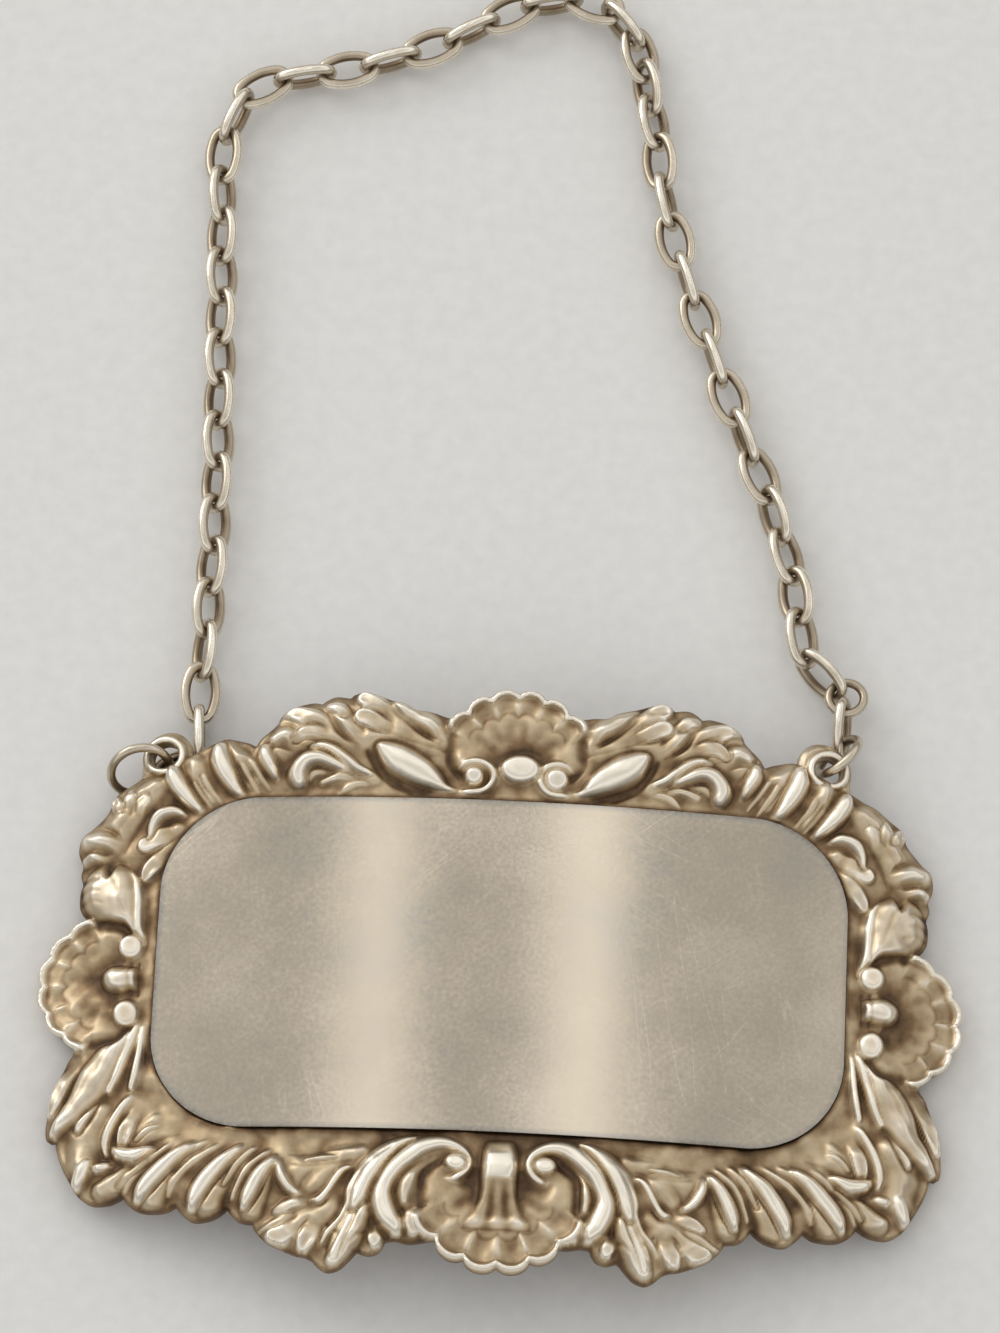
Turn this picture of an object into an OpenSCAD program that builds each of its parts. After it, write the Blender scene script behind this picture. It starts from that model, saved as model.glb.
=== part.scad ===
// Decanter label of aged silver: a bowed name panel in a cast border of shells,
// leaves and gadroons, hung from two lugs on a chain of oval links.
// The label lies face up with the chain laid out in front of it. Millimetres, +Z up,
// origin on the table under the middle of the border.

/* [Panel] */
// Width of the plain panel
panel_w = 44.5; // [40:0.5:50]
// Height of the plain panel
panel_h = 22.4; // [20:0.2:26]
// Corner radius of the panel
panel_corner = 5; // [3:0.25:7]
// Thickness of the panel sheet
panel_t = 1.1; // [0.7:0.05:1.6]
// Radius of the bow, at the back face
bow_r = 93; // [80:1:140]

/* [Border] */
// Width of the border at each side, shell included
side_border = 7.75; // [7:0.05:9]
// Depth of the border above the panel, shell included
top_border = 7.5; // [7:0.05:9]
// Depth of the border below the panel, shell included
bottom_border = 9.7; // [9:0.05:11]
// Thickness of the border's ground
ground_t = 0.85; // [0.6:0.05:1.3]
// How far the relief stands over its layout, as a factor on each lobe's radius
relief = 1; // [0.8:0.05:1.2]
// Solder gap around the panel and the lugs
solder_gap = 0.05; // [0.03:0.01:0.1]

/* [Lugs] */
// Hole of the left lug, across from the middle of the border's layout
lug_left_x = -22.6; // [-24:0.1:-21]
// Hole of the left lug, up from the middle of the border's layout
lug_left_y = 15.4; // [15:0.1:17]
// Hole of the right lug, across from the middle of the border's layout
lug_right_x = 20.8; // [20:0.1:22]
// Hole of the right lug, up from the middle of the border's layout
lug_right_y = 16.2; // [15.8:0.1:17]
// Radius of a lug
lug_r = 1.75; // [1.7:0.05:1.9]
// Thickness of a lug
lug_t = 0.8; // [0.6:0.05:1]
// Diameter of the hole in a lug
lug_hole = 1.8; // [1.7:0.05:2]
// Wire of the raised collar round the hole
collar_wire = 0.5; // [0.3:0.05:0.6]

/* [Chain] */
// Wire of an oval link
link_wire = 0.7; // [0.6:0.02:0.8]
// Length of the opening in an oval link
link_opening_l = 3.11; // [2.9:0.02:3.4]
// Width of the opening in an oval link
link_opening_w = 1.4; // [1.3:0.02:1.6]
// Radius of a link's end bow, inside
link_bow_r = 0.5; // [0.46:0.01:0.6]
// Play between two linked wires
play = 0.08; // [0.04:0.01:0.1]
// Wire of the three rings
ring_wire = 0.6; // [0.5:0.02:0.7]
// Inside diameter of the ring in the left lug
left_ring_d = 3.35; // [3.2:0.05:3.8]
// Inside diameter of the ring in the right lug
right_ring_d = 2.7; // [2.5:0.05:3]
// Inside diameter of the small joining ring
joining_ring_d = 1.75; // [1.7:0.05:2]
// Height of the chain's middle over the table
chain_z = 1.5; // [1.5:0.05:1.8]

/* [Hidden] */
$fn = 48;
links = 45;
links_left = 22;
label_w = panel_w + 2 * side_border;
label_h = panel_h + top_border + bottom_border;
panel_rise = (bottom_border - top_border) / 2;
bow_z = -sqrt(bow_r * bow_r - label_w * label_w / 4);
bow_fn = 180;
lobe_fn = 7;
fine_r = 0.5;
fine_fn = 6;
boss_fn = 10;
// The relief is rooted this deep in the ground and stays under this height, as shares of the ground
relief_root = 0.4;
relief_top = 4;

// Layout of the border, drawn for a label of this size and stretched with it
layout_w = 60;
layout_h = 39.6;
stretch = [label_w / layout_w, label_h / layout_h];
function laid(p) = [p.x * stretch.x, p.y * stretch.y];
lug_left = laid([lug_left_x, lug_left_y]);
lug_right = laid([lug_right_x, lug_right_y]);

// One quarter of the border's edge, from the top shell round to the side shell
edge_quarter = [
    [0, 19.1], [3.2, 18.3], [5.3, 17.4], [6.6, 18], [8.4, 18.9], [10.2, 19],
    [12.7, 18.2], [14.5, 17], [15.4, 15.9], [17.2, 15.5], [18.8, 15.7],
    [20.3, 15], [22, 14.8], [24.6, 13.6], [26.4, 12], [27.8, 9.9], [28.3, 8],
    [28.1, 5.6], [28.5, 4], [29.2, 2], [29.4, 0]
];

// Strokes of the quarter's relief, each a run of [across, up, radius]
blades = [
    [[4.5, 13.4, 0.35], [6.6, 14.1, 0.85], [8.7, 15.5, 0.4]],
    [[25.5, 7.6, 0.75], [24.6, 5.4, 0.8], [23.7, 3, 0.35]],
    [[10, 14.6, 0.35], [12.2, 15.3, 0.6], [13.6, 14.3, 0.6]]
];
leaves = [
    [[6.2, 16.4, 0.5], [9.4, 18.6, 0.75]],
    [[9.3, 16.4, 0.5], [12.2, 17.8, 0.75]],
    [[11, 16, 0.5], [14, 16.9, 0.65]],
    [[22.1, 11.4, 0.4], [22.9, 9.8, 0.5]],
    [[22.9, 13, 0.5], [24.4, 12.6, 0.75]],
    [[23.8, 11.3, 0.5], [26, 11.1, 0.8]],
    [[24.6, 9.4, 0.5], [27.1, 9.2, 0.85]],
    [[26.2, 7.1, 0.6], [27.6, 7.2, 0.7]],
    [[26, 5.5, 0.5], [27.6, 5.3, 0.6]]
];
gadroons = [
    [[15.7, 15.3, 0.65], [15.2, 13.7, 0.3]],
    [[17.2, 15, 0.45], [16.3, 13.1, 0.25]],
    [[18.8, 14.9, 0.8], [17.5, 12.9, 0.4]],
    [[20.2, 14.3, 0.45], [18.9, 12.7, 0.25]],
    [[21.7, 13.9, 0.8], [20.2, 12.2, 0.4]]
];

// The four shells, each reaching to the edge it faces: [across, up, way it faces, boss radius]
shells = [
    [0, 14.6, 90, 0.95],
    [0, -13.6, 270, 1.05],
    [25.1, -0.6, 0, 0.95],
    [-25.1, -0.6, 180, 0.95]
];
function shell_reach(s) =
    s[2] % 180 == 90 ? label_h / 2 - abs(laid(s).y) : label_w / 2 - abs(laid(s).x);
shell_spread = 150;
shell_flutes = 7;
// Flutes overlap this much at the rim, and start this far out
flute_overlap = 1.15;
flute_root = 0.35;
volute_step = 2.9;
volute_r = 0.85;

// How the chain lies, heading and slack by link number, counted from the left ring
headings = [
    [1, 19], [2, 92], [3, 89], [4, 87], [9, 91], [15, 92], [16, 89], [17, 66],
    [18, 30], [19, 11], [20, 12], [23, 29], [24, 29], [25, 10], [26, -20],
    [27, -50], [28, -76], [31, -82], [34, -72], [39, -68], [42, -79], [43, -83], [44, -46], [45, -92]
];
slacks = [[25, 0], [26, 0.35], [28, 0.5], [29, 0.4], [30, 0]];
// How far the alternate links are turned from lying flat and standing on edge
twists = [
    [1, -9], [2, 0], [5, 45], [14, 45], [18, 90], [26, 90], [34, 180], [37, 180],
    [42, 230], [44, 211], [45, 253]
];
// Heading and lean of each ring, and where round it the lug and the first link sit,
// with that link's climb and slack
left_ring_heading = 15;
left_ring_lean = 59;
left_ring_turn = 17;
left_hook_turn = -19;
left_hook_climb = 3;
left_hook_slack = 0.2;
right_ring_heading = 50;
right_ring_lean = 120;
right_ring_turn = 160;
right_hook_turn = -50;
right_hook_climb = 16;
right_hook_slack = 0.23;
joining_ring_heading = 188;
joining_ring_lean = -10;
steepest = 18;

// Step where the sides of a link run into its bows, and how far they run in
seam_step = 0.01;
seam_turn = 1.2;

// Link sizes along the middle of the wire
wire_r = link_wire / 2;
bow = link_bow_r + wire_r;
reach = (link_opening_l + link_wire) / 2;
half_w = (link_opening_w + link_wire) / 2;
side_r = (pow(reach - bow, 2) + half_w * half_w - bow * bow) / (2 * (half_w - bow));
bow_half = atan2(side_r - half_w, reach - bow);
left_ring_r = (left_ring_d + ring_wire) / 2;
right_ring_r = (right_ring_d + ring_wire) / 2;
joining_ring_r = (joining_ring_d + ring_wire) / 2;

// Directions of a link that heads one way, climbs and is turned about its length
function along(heading, climb) = [cos(heading) * cos(climb), sin(heading) * cos(climb), sin(climb)];
function sideways(heading) = [-sin(heading), cos(heading), 0];
function facing(heading, climb, turn) =
    cos(turn) * cross(along(heading, climb), sideways(heading)) - sin(turn) * sideways(heading);
function unit(v) = v / norm(v);

// A placed link or ring: [middle, along, facing, reach, bow radius, wire radius]
function bow_out(e) = e[0] + (e[3] - e[4]) * e[1];
function pull(n1, n2, ahead) = let (v = unit(cross(n1, n2))) (v * ahead < 0 ? -v : v);
function next_to(prev, t, n, size, slack) =
    let (u = pull(prev[2], n, t))
    let (gap = prev[4] + size[1] - prev[5] - size[2] - play - slack)
    [bow_out(prev) + gap * u + (size[0] - size[1]) * t, t, n, size[0], size[1], size[2]];
function hooked(ring, turn, slack, t, n) =
    let (around = cos(turn) * ring[1] + sin(turn) * cross(ring[2], ring[1]))
    let (out = link_opening_l / 2 - ring[5] - play - slack)
    [ring[0] + ring[4] * around + out * t, t, n, reach, bow, wire_r];
function climb_to(prev) =
    prev[3] == prev[4] ? 0 :
    let (rise = (chain_z - bow_out(prev).z) / (2 * reach))
    max(-steepest, min(steepest, asin(max(-1, min(1, rise)))));
oval = [reach, bow, wire_r];
function ring_size(r) = [r, r, ring_wire / 2];
function turn_of(i) = 90 * ((i + 1) % 2) + lookup(i, twists);
function link_after(prev, i, heading) =
    let (climb = climb_to(prev))
    next_to(prev, along(heading, climb), facing(heading, climb, turn_of(i)), oval, lookup(i, slacks));

// The rings in the lugs
function lug_angle(x) = asin(x / bow_r);
function on_bow(x, y, h) = [(bow_r + h) * sin(lug_angle(x)), y, bow_z + (bow_r + h) * cos(lug_angle(x))];
function lug_ring(hole, heading, lean, turn, r) =
    let (k = along(heading, 0), n = facing(heading, 0, lean), g = cross(n, k))
    [hole - r * (cos(turn) * k + sin(turn) * g), k, n, r, r, ring_wire / 2];
left_ring_at = lug_ring(on_bow(lug_left.x, lug_left.y, lug_t / 2),
    left_ring_heading, left_ring_lean, left_ring_turn, left_ring_r);
right_ring_at = lug_ring(on_bow(lug_right.x, lug_right.y, lug_t / 2),
    right_ring_heading, right_ring_lean, right_ring_turn, right_ring_r);

function first_link(ring, turn, climb, slack, i, heading) =
    hooked(ring, turn, slack, along(heading, climb), facing(heading, climb, turn_of(i)));

// The left half of the chain runs from the left ring, the right half back from the right ring
function left_half(swing, prev, i = 1) =
    i > links_left ? [] :
    let (heading = lookup(i, headings) + swing)
    let (e = i > 1 ? link_after(prev, i, heading) :
        first_link(left_ring_at, left_hook_turn, left_hook_climb, left_hook_slack, i, heading))
    concat([e], left_half(swing, e, i + 1));
function joining_after(prev, swing) =
    let (h = joining_ring_heading + 180 + swing)
    next_to(prev, along(h, 0), facing(h, 0, joining_ring_lean), ring_size(joining_ring_r), 0);
function right_half(swing, prev, i = links) =
    i <= links_left ? [] :
    let (heading = lookup(i, headings) + 180 + swing)
    let (e = i < links ? link_after(prev, i, heading) :
        first_link(right_ring_at, right_hook_turn, right_hook_climb, right_hook_slack, i, heading))
    i < links ? concat([e], right_half(swing, e, i - 1)) :
    let (ring = joining_after(e, swing))
    concat([e, ring], right_half(swing, ring, i - 1));

// The two halves are swung until they meet at the top of the loop
function miss(swings) =
    let (left = left_half(swings.x), right = right_half(swings.y))
    let (a = left[len(left) - 1], b = right[len(right) - 1])
    let (due = next_to(a, -b[1], b[2], oval, 0))
    [due[0].x - b[0].x, due[0].y - b[0].y];
function closed(swings, rounds) =
    rounds == 0 ? swings :
    let (step = 0.5, m = miss(swings))
    let (a = (miss(swings + [step, 0]) - m) / step, b = (miss(swings + [0, step]) - m) / step)
    let (d = a.x * b.y - a.y * b.x)
    closed(swings - [(m.x * b.y - m.y * b.x) / d, (a.x * m.y - a.y * m.x) / d], rounds - 1);
swings = closed([0, 0], 5);
left_links = left_half(swings.x);
right_links = right_half(swings.y);
joining_ring_at = right_links[1];
function link_at(i) =
    i <= links_left ? left_links[i - 1] :
    i == links ? right_links[0] : right_links[links - i + 1];

two_digits = function (i) i < 10 ? str("0", i) : str(i);
link_names = [for (i = [1:links]) str("link_", two_digits(i))];

// Where each link and ring lies, for whoever reads the joints off this file
echo(swings = swings, miss = miss(swings));
echo(at = "left_ring", left_ring_at);
for (i = [1:links]) echo(at = link_names[i - 1], link_at(i));
echo(at = "joining_ring", joining_ring_at);
echo(at = "right_ring", right_ring_at);

silver = [0.78, 0.74, 0.68];
old_silver = [0.66, 0.56, 0.43];

// Puts its children on the bowed face, upright on it
module on_face(x, y, h) {
    translate([0, y, bow_z]) rotate([0, lug_angle(x), 0]) translate([0, 0, bow_r + h]) children();
}

module bowed_sheet(from, to) {
    translate([0, 0, bow_z]) rotate([90, 0, 0]) difference() {
        cylinder(r = bow_r + to, h = 2 * label_h, center = true, $fn = bow_fn);
        cylinder(r = bow_r + from, h = 3 * label_h, center = true, $fn = bow_fn);
    }
}

module panel_outline(gap) {
    r = panel_corner + gap;
    w = panel_w + 2 * gap;
    h = panel_h + 2 * gap;
    translate([0, panel_rise]) {
        square([w - 2 * r, h], center = true);
        square([w, h - 2 * r], center = true);
        for (x = [-1, 1], y = [-1, 1]) translate([x * (w / 2 - r), y * (h / 2 - r)]) circle(r);
    }
}

module panel() {
    color(silver) intersection() {
        bowed_sheet(0, panel_t);
        linear_extrude(label_w) panel_outline(0);
    }
}

// A swelling stroke of relief along a run of [across, up, radius]
module stroke(run, ways) {
    for (i = [1:len(run) - 1]) hull() for (p = [run[i - 1], run[i]]) {
        at = laid(p);
        on_face(at.x * ways.x, at.y * ways.y, ground_t) scale(relief)
            sphere(p[2], $fn = p[2] > fine_r ? lobe_fn : fine_fn);
    }
}

// A fluted shell with its boss and a volute at each side
module shell(s) {
    at = laid(s);
    reach = shell_reach(s);
    rim_r = flute_overlap * reach * PI * shell_spread / 360 / shell_flutes;
    for (i = [0:shell_flutes - 1]) {
        a = s[2] + shell_spread * (i / (shell_flutes - 1) - 0.5);
        tip = at + (reach - rim_r) * [cos(a), sin(a)];
        root = at + flute_root * reach * [cos(a), sin(a)];
        hull() {
            on_face(root.x, root.y, ground_t) scale(relief) sphere(rim_r / 3, $fn = fine_fn);
            on_face(tip.x, tip.y, ground_t) scale(relief) sphere(rim_r, $fn = lobe_fn);
        }
    }
    on_face(at.x, at.y, ground_t) scale(relief) sphere(s[3], $fn = boss_fn);
    for (w = [-1, 1]) {
        v = at + w * volute_step * [-sin(s[2]), cos(s[2])];
        on_face(v.x, v.y, ground_t) scale(relief) sphere(volute_r, $fn = boss_fn);
    }
}

module edge_outline() {
    quarter = concat([[0, 0]], [for (p = edge_quarter) laid(p)]);
    for (x = [-1, 1], y = [-1, 1]) scale([x, y]) polygon(quarter);
}

module lug_seat(at, gap) {
    on_face(at.x, at.y, 0) cylinder(r = lug_r + gap, h = 6 * ground_t, center = true);
}

module border() {
    color(old_silver) difference() {
        union() {
            intersection() {
                bowed_sheet(0, ground_t);
                linear_extrude(label_w) edge_outline();
            }
            intersection() {
                union() {
                    for (x = [-1, 1], y = [-1, 1], run = concat(blades, leaves, gadroons))
                        stroke(run, [x, y]);
                    for (s = shells) shell(s);
                }
                bowed_sheet(relief_root * ground_t, relief_top * ground_t);
            }
        }
        linear_extrude(label_w) panel_outline(solder_gap);
        lug_seat(lug_left, solder_gap);
        lug_seat(lug_right, solder_gap);
    }
}

// A pierced ear with a raised collar
module lug(at) {
    color(old_silver) on_face(at.x, at.y, 0) difference() {
        union() {
            cylinder(r = lug_r, h = lug_t);
            translate([0, 0, lug_t]) rotate_extrude()
                translate([lug_hole / 2 + collar_wire / 2, 0]) circle(d = collar_wire, $fn = 24);
        }
        cylinder(d = lug_hole, h = 6 * lug_t, center = true);
    }
}

module left_lug() lug(lug_left);
module right_lug() lug(lug_right);

// Stands its children in the frame of a placed link or ring
module placed(e) {
    w = cross(e[2], e[1]);
    multmatrix([
        [e[1].x, w.x, e[2].x, e[0].x],
        [e[1].y, w.y, e[2].y, e[0].y],
        [e[1].z, w.z, e[2].z, e[0].z],
        [0, 0, 0, 1]
    ]) children();
}

module wire_arc(r, d, from, sweep) {
    rotate([0, 0, from]) rotate_extrude(angle = sweep) translate([r, 0]) circle(d = d, $fn = 24);
}

module ring(e) {
    color(silver) placed(e) wire_arc(e[4], 2 * e[5], 0, 360);
}

module left_ring() ring(left_ring_at);
module right_ring() ring(right_ring_at);
module joining_ring() ring(joining_ring_at);

// A four-arc oval of round wire
module oval_link() {
    side_from = bow_half - seam_turn;
    for (x = [0, 180]) rotate([0, 0, x]) {
        translate([reach - bow, 0, 0]) wire_arc(bow, link_wire, -bow_half, 2 * bow_half);
        translate([0, half_w - side_r, 0])
            wire_arc(side_r, link_wire - 2 * seam_step, side_from, 180 - 2 * side_from);
    }
}

// The link where the two halves meet is open towards its neighbour
open_link = links_left + 1;
open_from = -0.2;
module link(i) {
    color(silver) placed(link_at(i)) difference() {
        oval_link();
        if (i == open_link) translate([open_from, -half_w - link_wire, -link_wire])
            cube([2 * reach, 2 * half_w + 2 * link_wire, 2 * link_wire]);
    }
}

panel();
border();
left_lug();
right_lug();
left_ring();
joining_ring();
right_ring();
for (i = [1:links]) link(i);
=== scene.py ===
"""Aged silver decanter label: a bowed panel in a cast border of shells, leaves and gadroons, on its chain.

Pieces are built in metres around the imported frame. The relief is drawn in millimetres on the label's
own layout, x across and y up from the middle of the border, and then bent on the label's bow.
"""
import math
from collections import namedtuple

import bmesh
import bpy
import numpy as np
from mathutils import Matrix, Vector


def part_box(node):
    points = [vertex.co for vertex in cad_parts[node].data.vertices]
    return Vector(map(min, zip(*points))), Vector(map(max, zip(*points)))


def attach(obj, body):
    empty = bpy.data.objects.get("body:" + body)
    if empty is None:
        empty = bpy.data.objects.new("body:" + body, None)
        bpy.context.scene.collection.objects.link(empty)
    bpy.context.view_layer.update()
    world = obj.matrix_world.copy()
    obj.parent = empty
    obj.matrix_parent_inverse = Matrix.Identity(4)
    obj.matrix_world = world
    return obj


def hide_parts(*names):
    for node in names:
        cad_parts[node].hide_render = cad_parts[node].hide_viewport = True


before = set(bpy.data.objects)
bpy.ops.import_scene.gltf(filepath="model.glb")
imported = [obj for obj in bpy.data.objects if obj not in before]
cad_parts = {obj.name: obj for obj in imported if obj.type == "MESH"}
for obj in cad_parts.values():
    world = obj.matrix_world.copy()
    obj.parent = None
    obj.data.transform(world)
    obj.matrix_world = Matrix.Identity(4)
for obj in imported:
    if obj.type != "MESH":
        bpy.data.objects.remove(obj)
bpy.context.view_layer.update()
MM = 0.001

# Sizes of the label, in millimetres
LABEL_W = 60
LABEL_H = 39.6
BOW_R = 93
BOW_DROP = math.sqrt(BOW_R ** 2 - LABEL_W ** 2 / 4)
PANEL_W = 44.5
PANEL_H = 22.4
PANEL_CORNER = 6.4
PANEL_RISE = 1.1
PANEL_FOOT = PANEL_RISE - PANEL_H / 2
PANEL_T = 1.1
SOLDER_GAP = 0.05

# Heights of the border's ground over the bow: beside the panel, its swell outwards and its fall at the edge
GROUND = 0.7
GROUND_SWELL = 0.35
EDGE_FALL = 0.25

# The border's lip along the panel
LIP_W = 0.55
LIP_H = 0.82
LIP_SHINE = 0.55

# The two ears: middle of the hole, fullest side in degrees, and how far it reaches there past its round
Lug = namedtuple("Lug", "place fullest reach")
LUGS = {
    "left_lug": Lug((-22.6, 15.4), 60, 0.2),
    "right_lug": Lug((20.8, 16.2), 135, 0.5),
}
LUG_SPREAD = 55
LUG_T = 0.8
LUG_R = 1.6
LUG_HOLE_R = 0.9
LUG_NECK_HALF_W = 1.5
LUG_NECK_DROP = 1.5
COLLAR_R = 1.15
COLLAR_WIRE_R = 0.27
COLLAR_RISE = 0.34

# Spacing of the points that the relief is drawn on, and how much wider than its piece each lattice is
BORDER_STEP = 0.105
BORDER_SPARE = 0.6
PANEL_STEP = 0.2
PANEL_SPARE = 0.4
LUG_STEP = 0.08
LUG_LATTICE = 5.2

# Half width of the thinnest stroke
LEAST_HALF_W = 0.04

# Shine, from 0 in grimy hollows and painted shade to 1 where the silver is rubbed bright or carries a painted
# highlight or reflection
GROUND_SHINE = 0.47
PANEL_SHINE = 0.7
LUG_SHINE = 0.6
WIRE_SHINE = 0.58
# The walls of each piece are painted dark, as painted shade
WALL_SHADE = 0.15
CRISP = 0.95
WORN = 0.8

# Sizes of the chain, in millimetres
LINK_WIRE_R = 0.35
LINK_BOW = 0.85
LINK_REACH = 1.905
LINK_HALF_W = 1.05
LINK_SIDE_R = (
    ((LINK_REACH - LINK_BOW) ** 2 + LINK_HALF_W ** 2 - LINK_BOW ** 2) / (2 * (LINK_HALF_W - LINK_BOW))
)
LINK_BOW_HALF = math.atan2(LINK_SIDE_R - LINK_HALF_W, LINK_REACH - LINK_BOW)
RING_WIRE_R = 0.3
RING_MID_R = {"left_ring": 1.975, "right_ring": 1.65, "joining_ring": 1.175}
WIRE_SIDES = 14
BOW_STEPS = 7
SIDE_STEPS = 10
RING_STEPS = 40
LINKS = 45
OPEN_LINK = 23


# Curves and lattices


def smooth_run(points, per_span=8):
    """A smooth run through given points, each (x, y, ...), as rows of an array."""
    p = np.array(points, float)
    p = np.vstack([2 * p[0] - p[1], p, 2 * p[-1] - p[-2]])
    t = np.linspace(0, 1, per_span, endpoint=False)[:, None]
    spans = []
    for a, b, c, d in zip(p, p[1:], p[2:], p[3:]):
        cubic = (3 * b - a - 3 * c + d) * t ** 3
        spans.append((2 * b + (c - a) * t + (2 * a - 5 * b + 4 * c - d) * t ** 2 + cubic) / 2)
    spans.append(p[-2:-1])
    return np.vstack(spans)


def ease(value):
    """From 0 to 1 with flat ends."""
    value = np.clip(value, 0, 1)
    return value * value * (3 - 2 * value)


def bell(value, width):
    """1 at nought, falling away over about that width."""
    return np.exp(-(value / width) ** 2)


def blurred(z, cells):
    """z averaged over a bell of about that many cells, by three box passes."""
    half = max(1, round(cells))
    for axis in (0, 1, 0, 1, 0, 1):
        pad = [(half + 1, half) if axis == k else (0, 0) for k in (0, 1)]
        total = np.cumsum(np.pad(z, pad, mode="edge"), axis=axis)
        n = z.shape[axis]
        ahead = np.take(total, range(2 * half + 1, 2 * half + 1 + n), axis=axis)
        z = (ahead - np.take(total, range(n), axis=axis)) / (2 * half + 1)
    return z


class Lattice:
    """An even lattice of points over a rectangle of the layout, with a height and a shine at each."""

    def __init__(self, centre, width, height, step, level, shine):
        self.step = step
        self.xs = centre[0] - width / 2 + step * np.arange(round(width / step) + 1)
        self.ys = centre[1] - height / 2 + step * np.arange(round(height / step) + 1)
        self.x, self.y = np.meshgrid(self.xs, self.ys)
        self.z = np.full(self.x.shape, float(level))
        self.base = self.z.copy()
        self.shine = np.full(self.x.shape, float(shine))

    def window(self, run, margin):
        """The rows and columns that reach margin past the run."""
        low = run[:, :2].min(0) - margin
        high = run[:, :2].max(0) + margin
        first = np.floor((low - (self.xs[0], self.ys[0])) / self.step).astype(int)
        last = np.ceil((high - (self.xs[0], self.ys[0])) / self.step).astype(int)
        first = np.maximum(first, 0)
        last = np.maximum(last, 0)
        return slice(first[1], last[1] + 1), slice(first[0], last[0] + 1)

    def across(self, run, window):
        """For each point: how far outside the run's edge, the signed share of the half width, the half
        width there and the share of the run's length."""
        px, py = self.x[window], self.y[window]
        outside = np.full(px.shape, np.inf)
        share, width, along = np.zeros((3, *px.shape))
        for i, (a, b) in enumerate(zip(run, run[1:])):
            dx, dy = b[0] - a[0], b[1] - a[1]
            t = np.clip(((px - a[0]) * dx + (py - a[1]) * dy) / (dx * dx + dy * dy), 0, 1)
            ox, oy = px - a[0] - t * dx, py - a[1] - t * dy
            distance = np.hypot(ox, oy)
            half = a[2] + t * (b[2] - a[2])
            nearer = distance - half < outside
            outside = np.where(nearer, distance - half, outside)
            share = np.where(nearer, np.sign(dx * oy - dy * ox) * distance / half, share)
            width = np.where(nearer, half, width)
            along = np.where(nearer, (i + t) / (len(run) - 1), along)
        return outside, share, width, along

    def sample(self, field, x, y):
        """field read between the lattice's points."""
        u = np.clip((x - self.xs[0]) / self.step, 0, len(self.xs) - 1.001)
        v = np.clip((y - self.ys[0]) / self.step, 0, len(self.ys) - 1.001)
        i, j = u.astype(int), v.astype(int)
        u, v = u - i, v - j
        low = field[j, i] * (1 - u) + field[j, i + 1] * u
        return low * (1 - v) + (field[j + 1, i] * (1 - u) + field[j + 1, i + 1] * u) * v

    def lumps(self, cells):
        """Seeded unevenness about that many cells across, of unit strength."""
        noise = blurred(np.random.default_rng(cells).normal(size=self.x.shape), cells / 2)
        return noise / noise.std()

    def cover(self, outside):
        """How much of each point's cell lies inside an edge."""
        return ease(0.5 - outside / (2 * self.step))

    def cut_ditch(self, window, outside, width, depth, fade=1):
        """Lowers what lies just outside a motif and darkens it with patina and painted shade, so that a dark
        line parts it from its neighbours.
        """
        near = ease(1 - outside / width) * fade
        z = self.z[window]
        self.z[window] = z + (np.minimum(z, self.base[window] - depth) - z) * near
        # Patina and painted shade darken the ditch
        self.shine[window] *= 1 - min(0.7, 2.5 * depth) * near

    def lay(self, window, cover, z, shine):
        """Mixes a motif's heights and shine over what is there."""
        self.z[window] += (z - self.z[window]) * cover
        self.shine[window] += (shine - self.shine[window]) * cover

    def stroke(self, points, kind, flip=False):
        """Lays a swelling stroke through points of (x, y, half width), rising out of what is there."""
        run = smooth_run(points)
        run[:, 2] = np.maximum(run[:, 2], LEAST_HALF_W)
        window = self.window(run, run[:, 2].max() + max(kind.ditch, 2 * self.step))
        outside, share, width, along = self.across(run, window)
        fade = ease(along / kind.rise) if kind.rise else np.ones_like(along)
        if kind.depth:
            self.cut_ditch(window, np.maximum(outside, 0), kind.ditch, kind.depth, fade)
        level, tone = kind.profile(np.clip(-share if flip else share, -1, 1), along)
        z = self.base[window] + kind.height * level * np.clip(0.3 + 1.4 * width, 0.4, 1)
        if kind.melts:
            fade = np.where(z > self.z[window], fade, 0)
        self.lay(window, fade * self.cover(outside), z, kind.shine * tone)

    def groove(self, points, depth, darkness):
        """Cuts a groove along points of (x, y, half width), darkened inside with patina and painted shade."""
        run = smooth_run(points)
        window = self.window(run, run[:, 2].max())
        outside, share, _, _ = self.across(run, window)
        cut = np.where(outside < 0, ease(1 - np.abs(share)), 0)
        self.z[window] -= depth * cut
        self.shine[window] *= 1 - darkness * cut

    def dome(self, x, y, rx, ry, height, shine, ditch=0.18, depth=0.15):
        """Lays an oval boss, worn flat with a slight dimple, over what is there."""
        window = self.window(np.array([[x, y]]), max(rx, ry) + ditch)
        share = np.hypot((self.x[window] - x) / rx, (self.y[window] - y) / ry)
        outside = (share - 1) * min(rx, ry)
        self.cut_ditch(window, np.maximum(outside, 0), ditch, depth)
        level = np.clip(1 - share ** 7, 0, 1) ** 0.5 - 0.1 * np.clip(1 - share ** 2, 0, 1) ** 2
        z = self.base[window] + height * level
        # The boss's tone is a painted reflection: greyer on its flat middle, brighter towards its edge
        self.lay(window, self.cover(outside), z, shine * (0.74 + 0.26 * np.clip(share, 0, 1) ** 2))


# Cross sections of a stroke: (height, shine), each a share of the stroke's own


def rounded(u, s):
    level = np.clip(1 - u * u, 0, 1) ** 0.7
    return level, 0.5 + 0.5 * level


def swelling(u, s):
    """A low mound that runs out into what lies round it."""
    return np.clip(1 - u * u, 0, 1) ** 1.3, np.ones_like(u)


def pillow(u, s):
    """Broad and flat with well rounded sides."""
    level = np.clip(1 - np.abs(u) ** 2.4, 0, 1) ** 0.7
    return level, 0.65 + 0.35 * level


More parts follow.
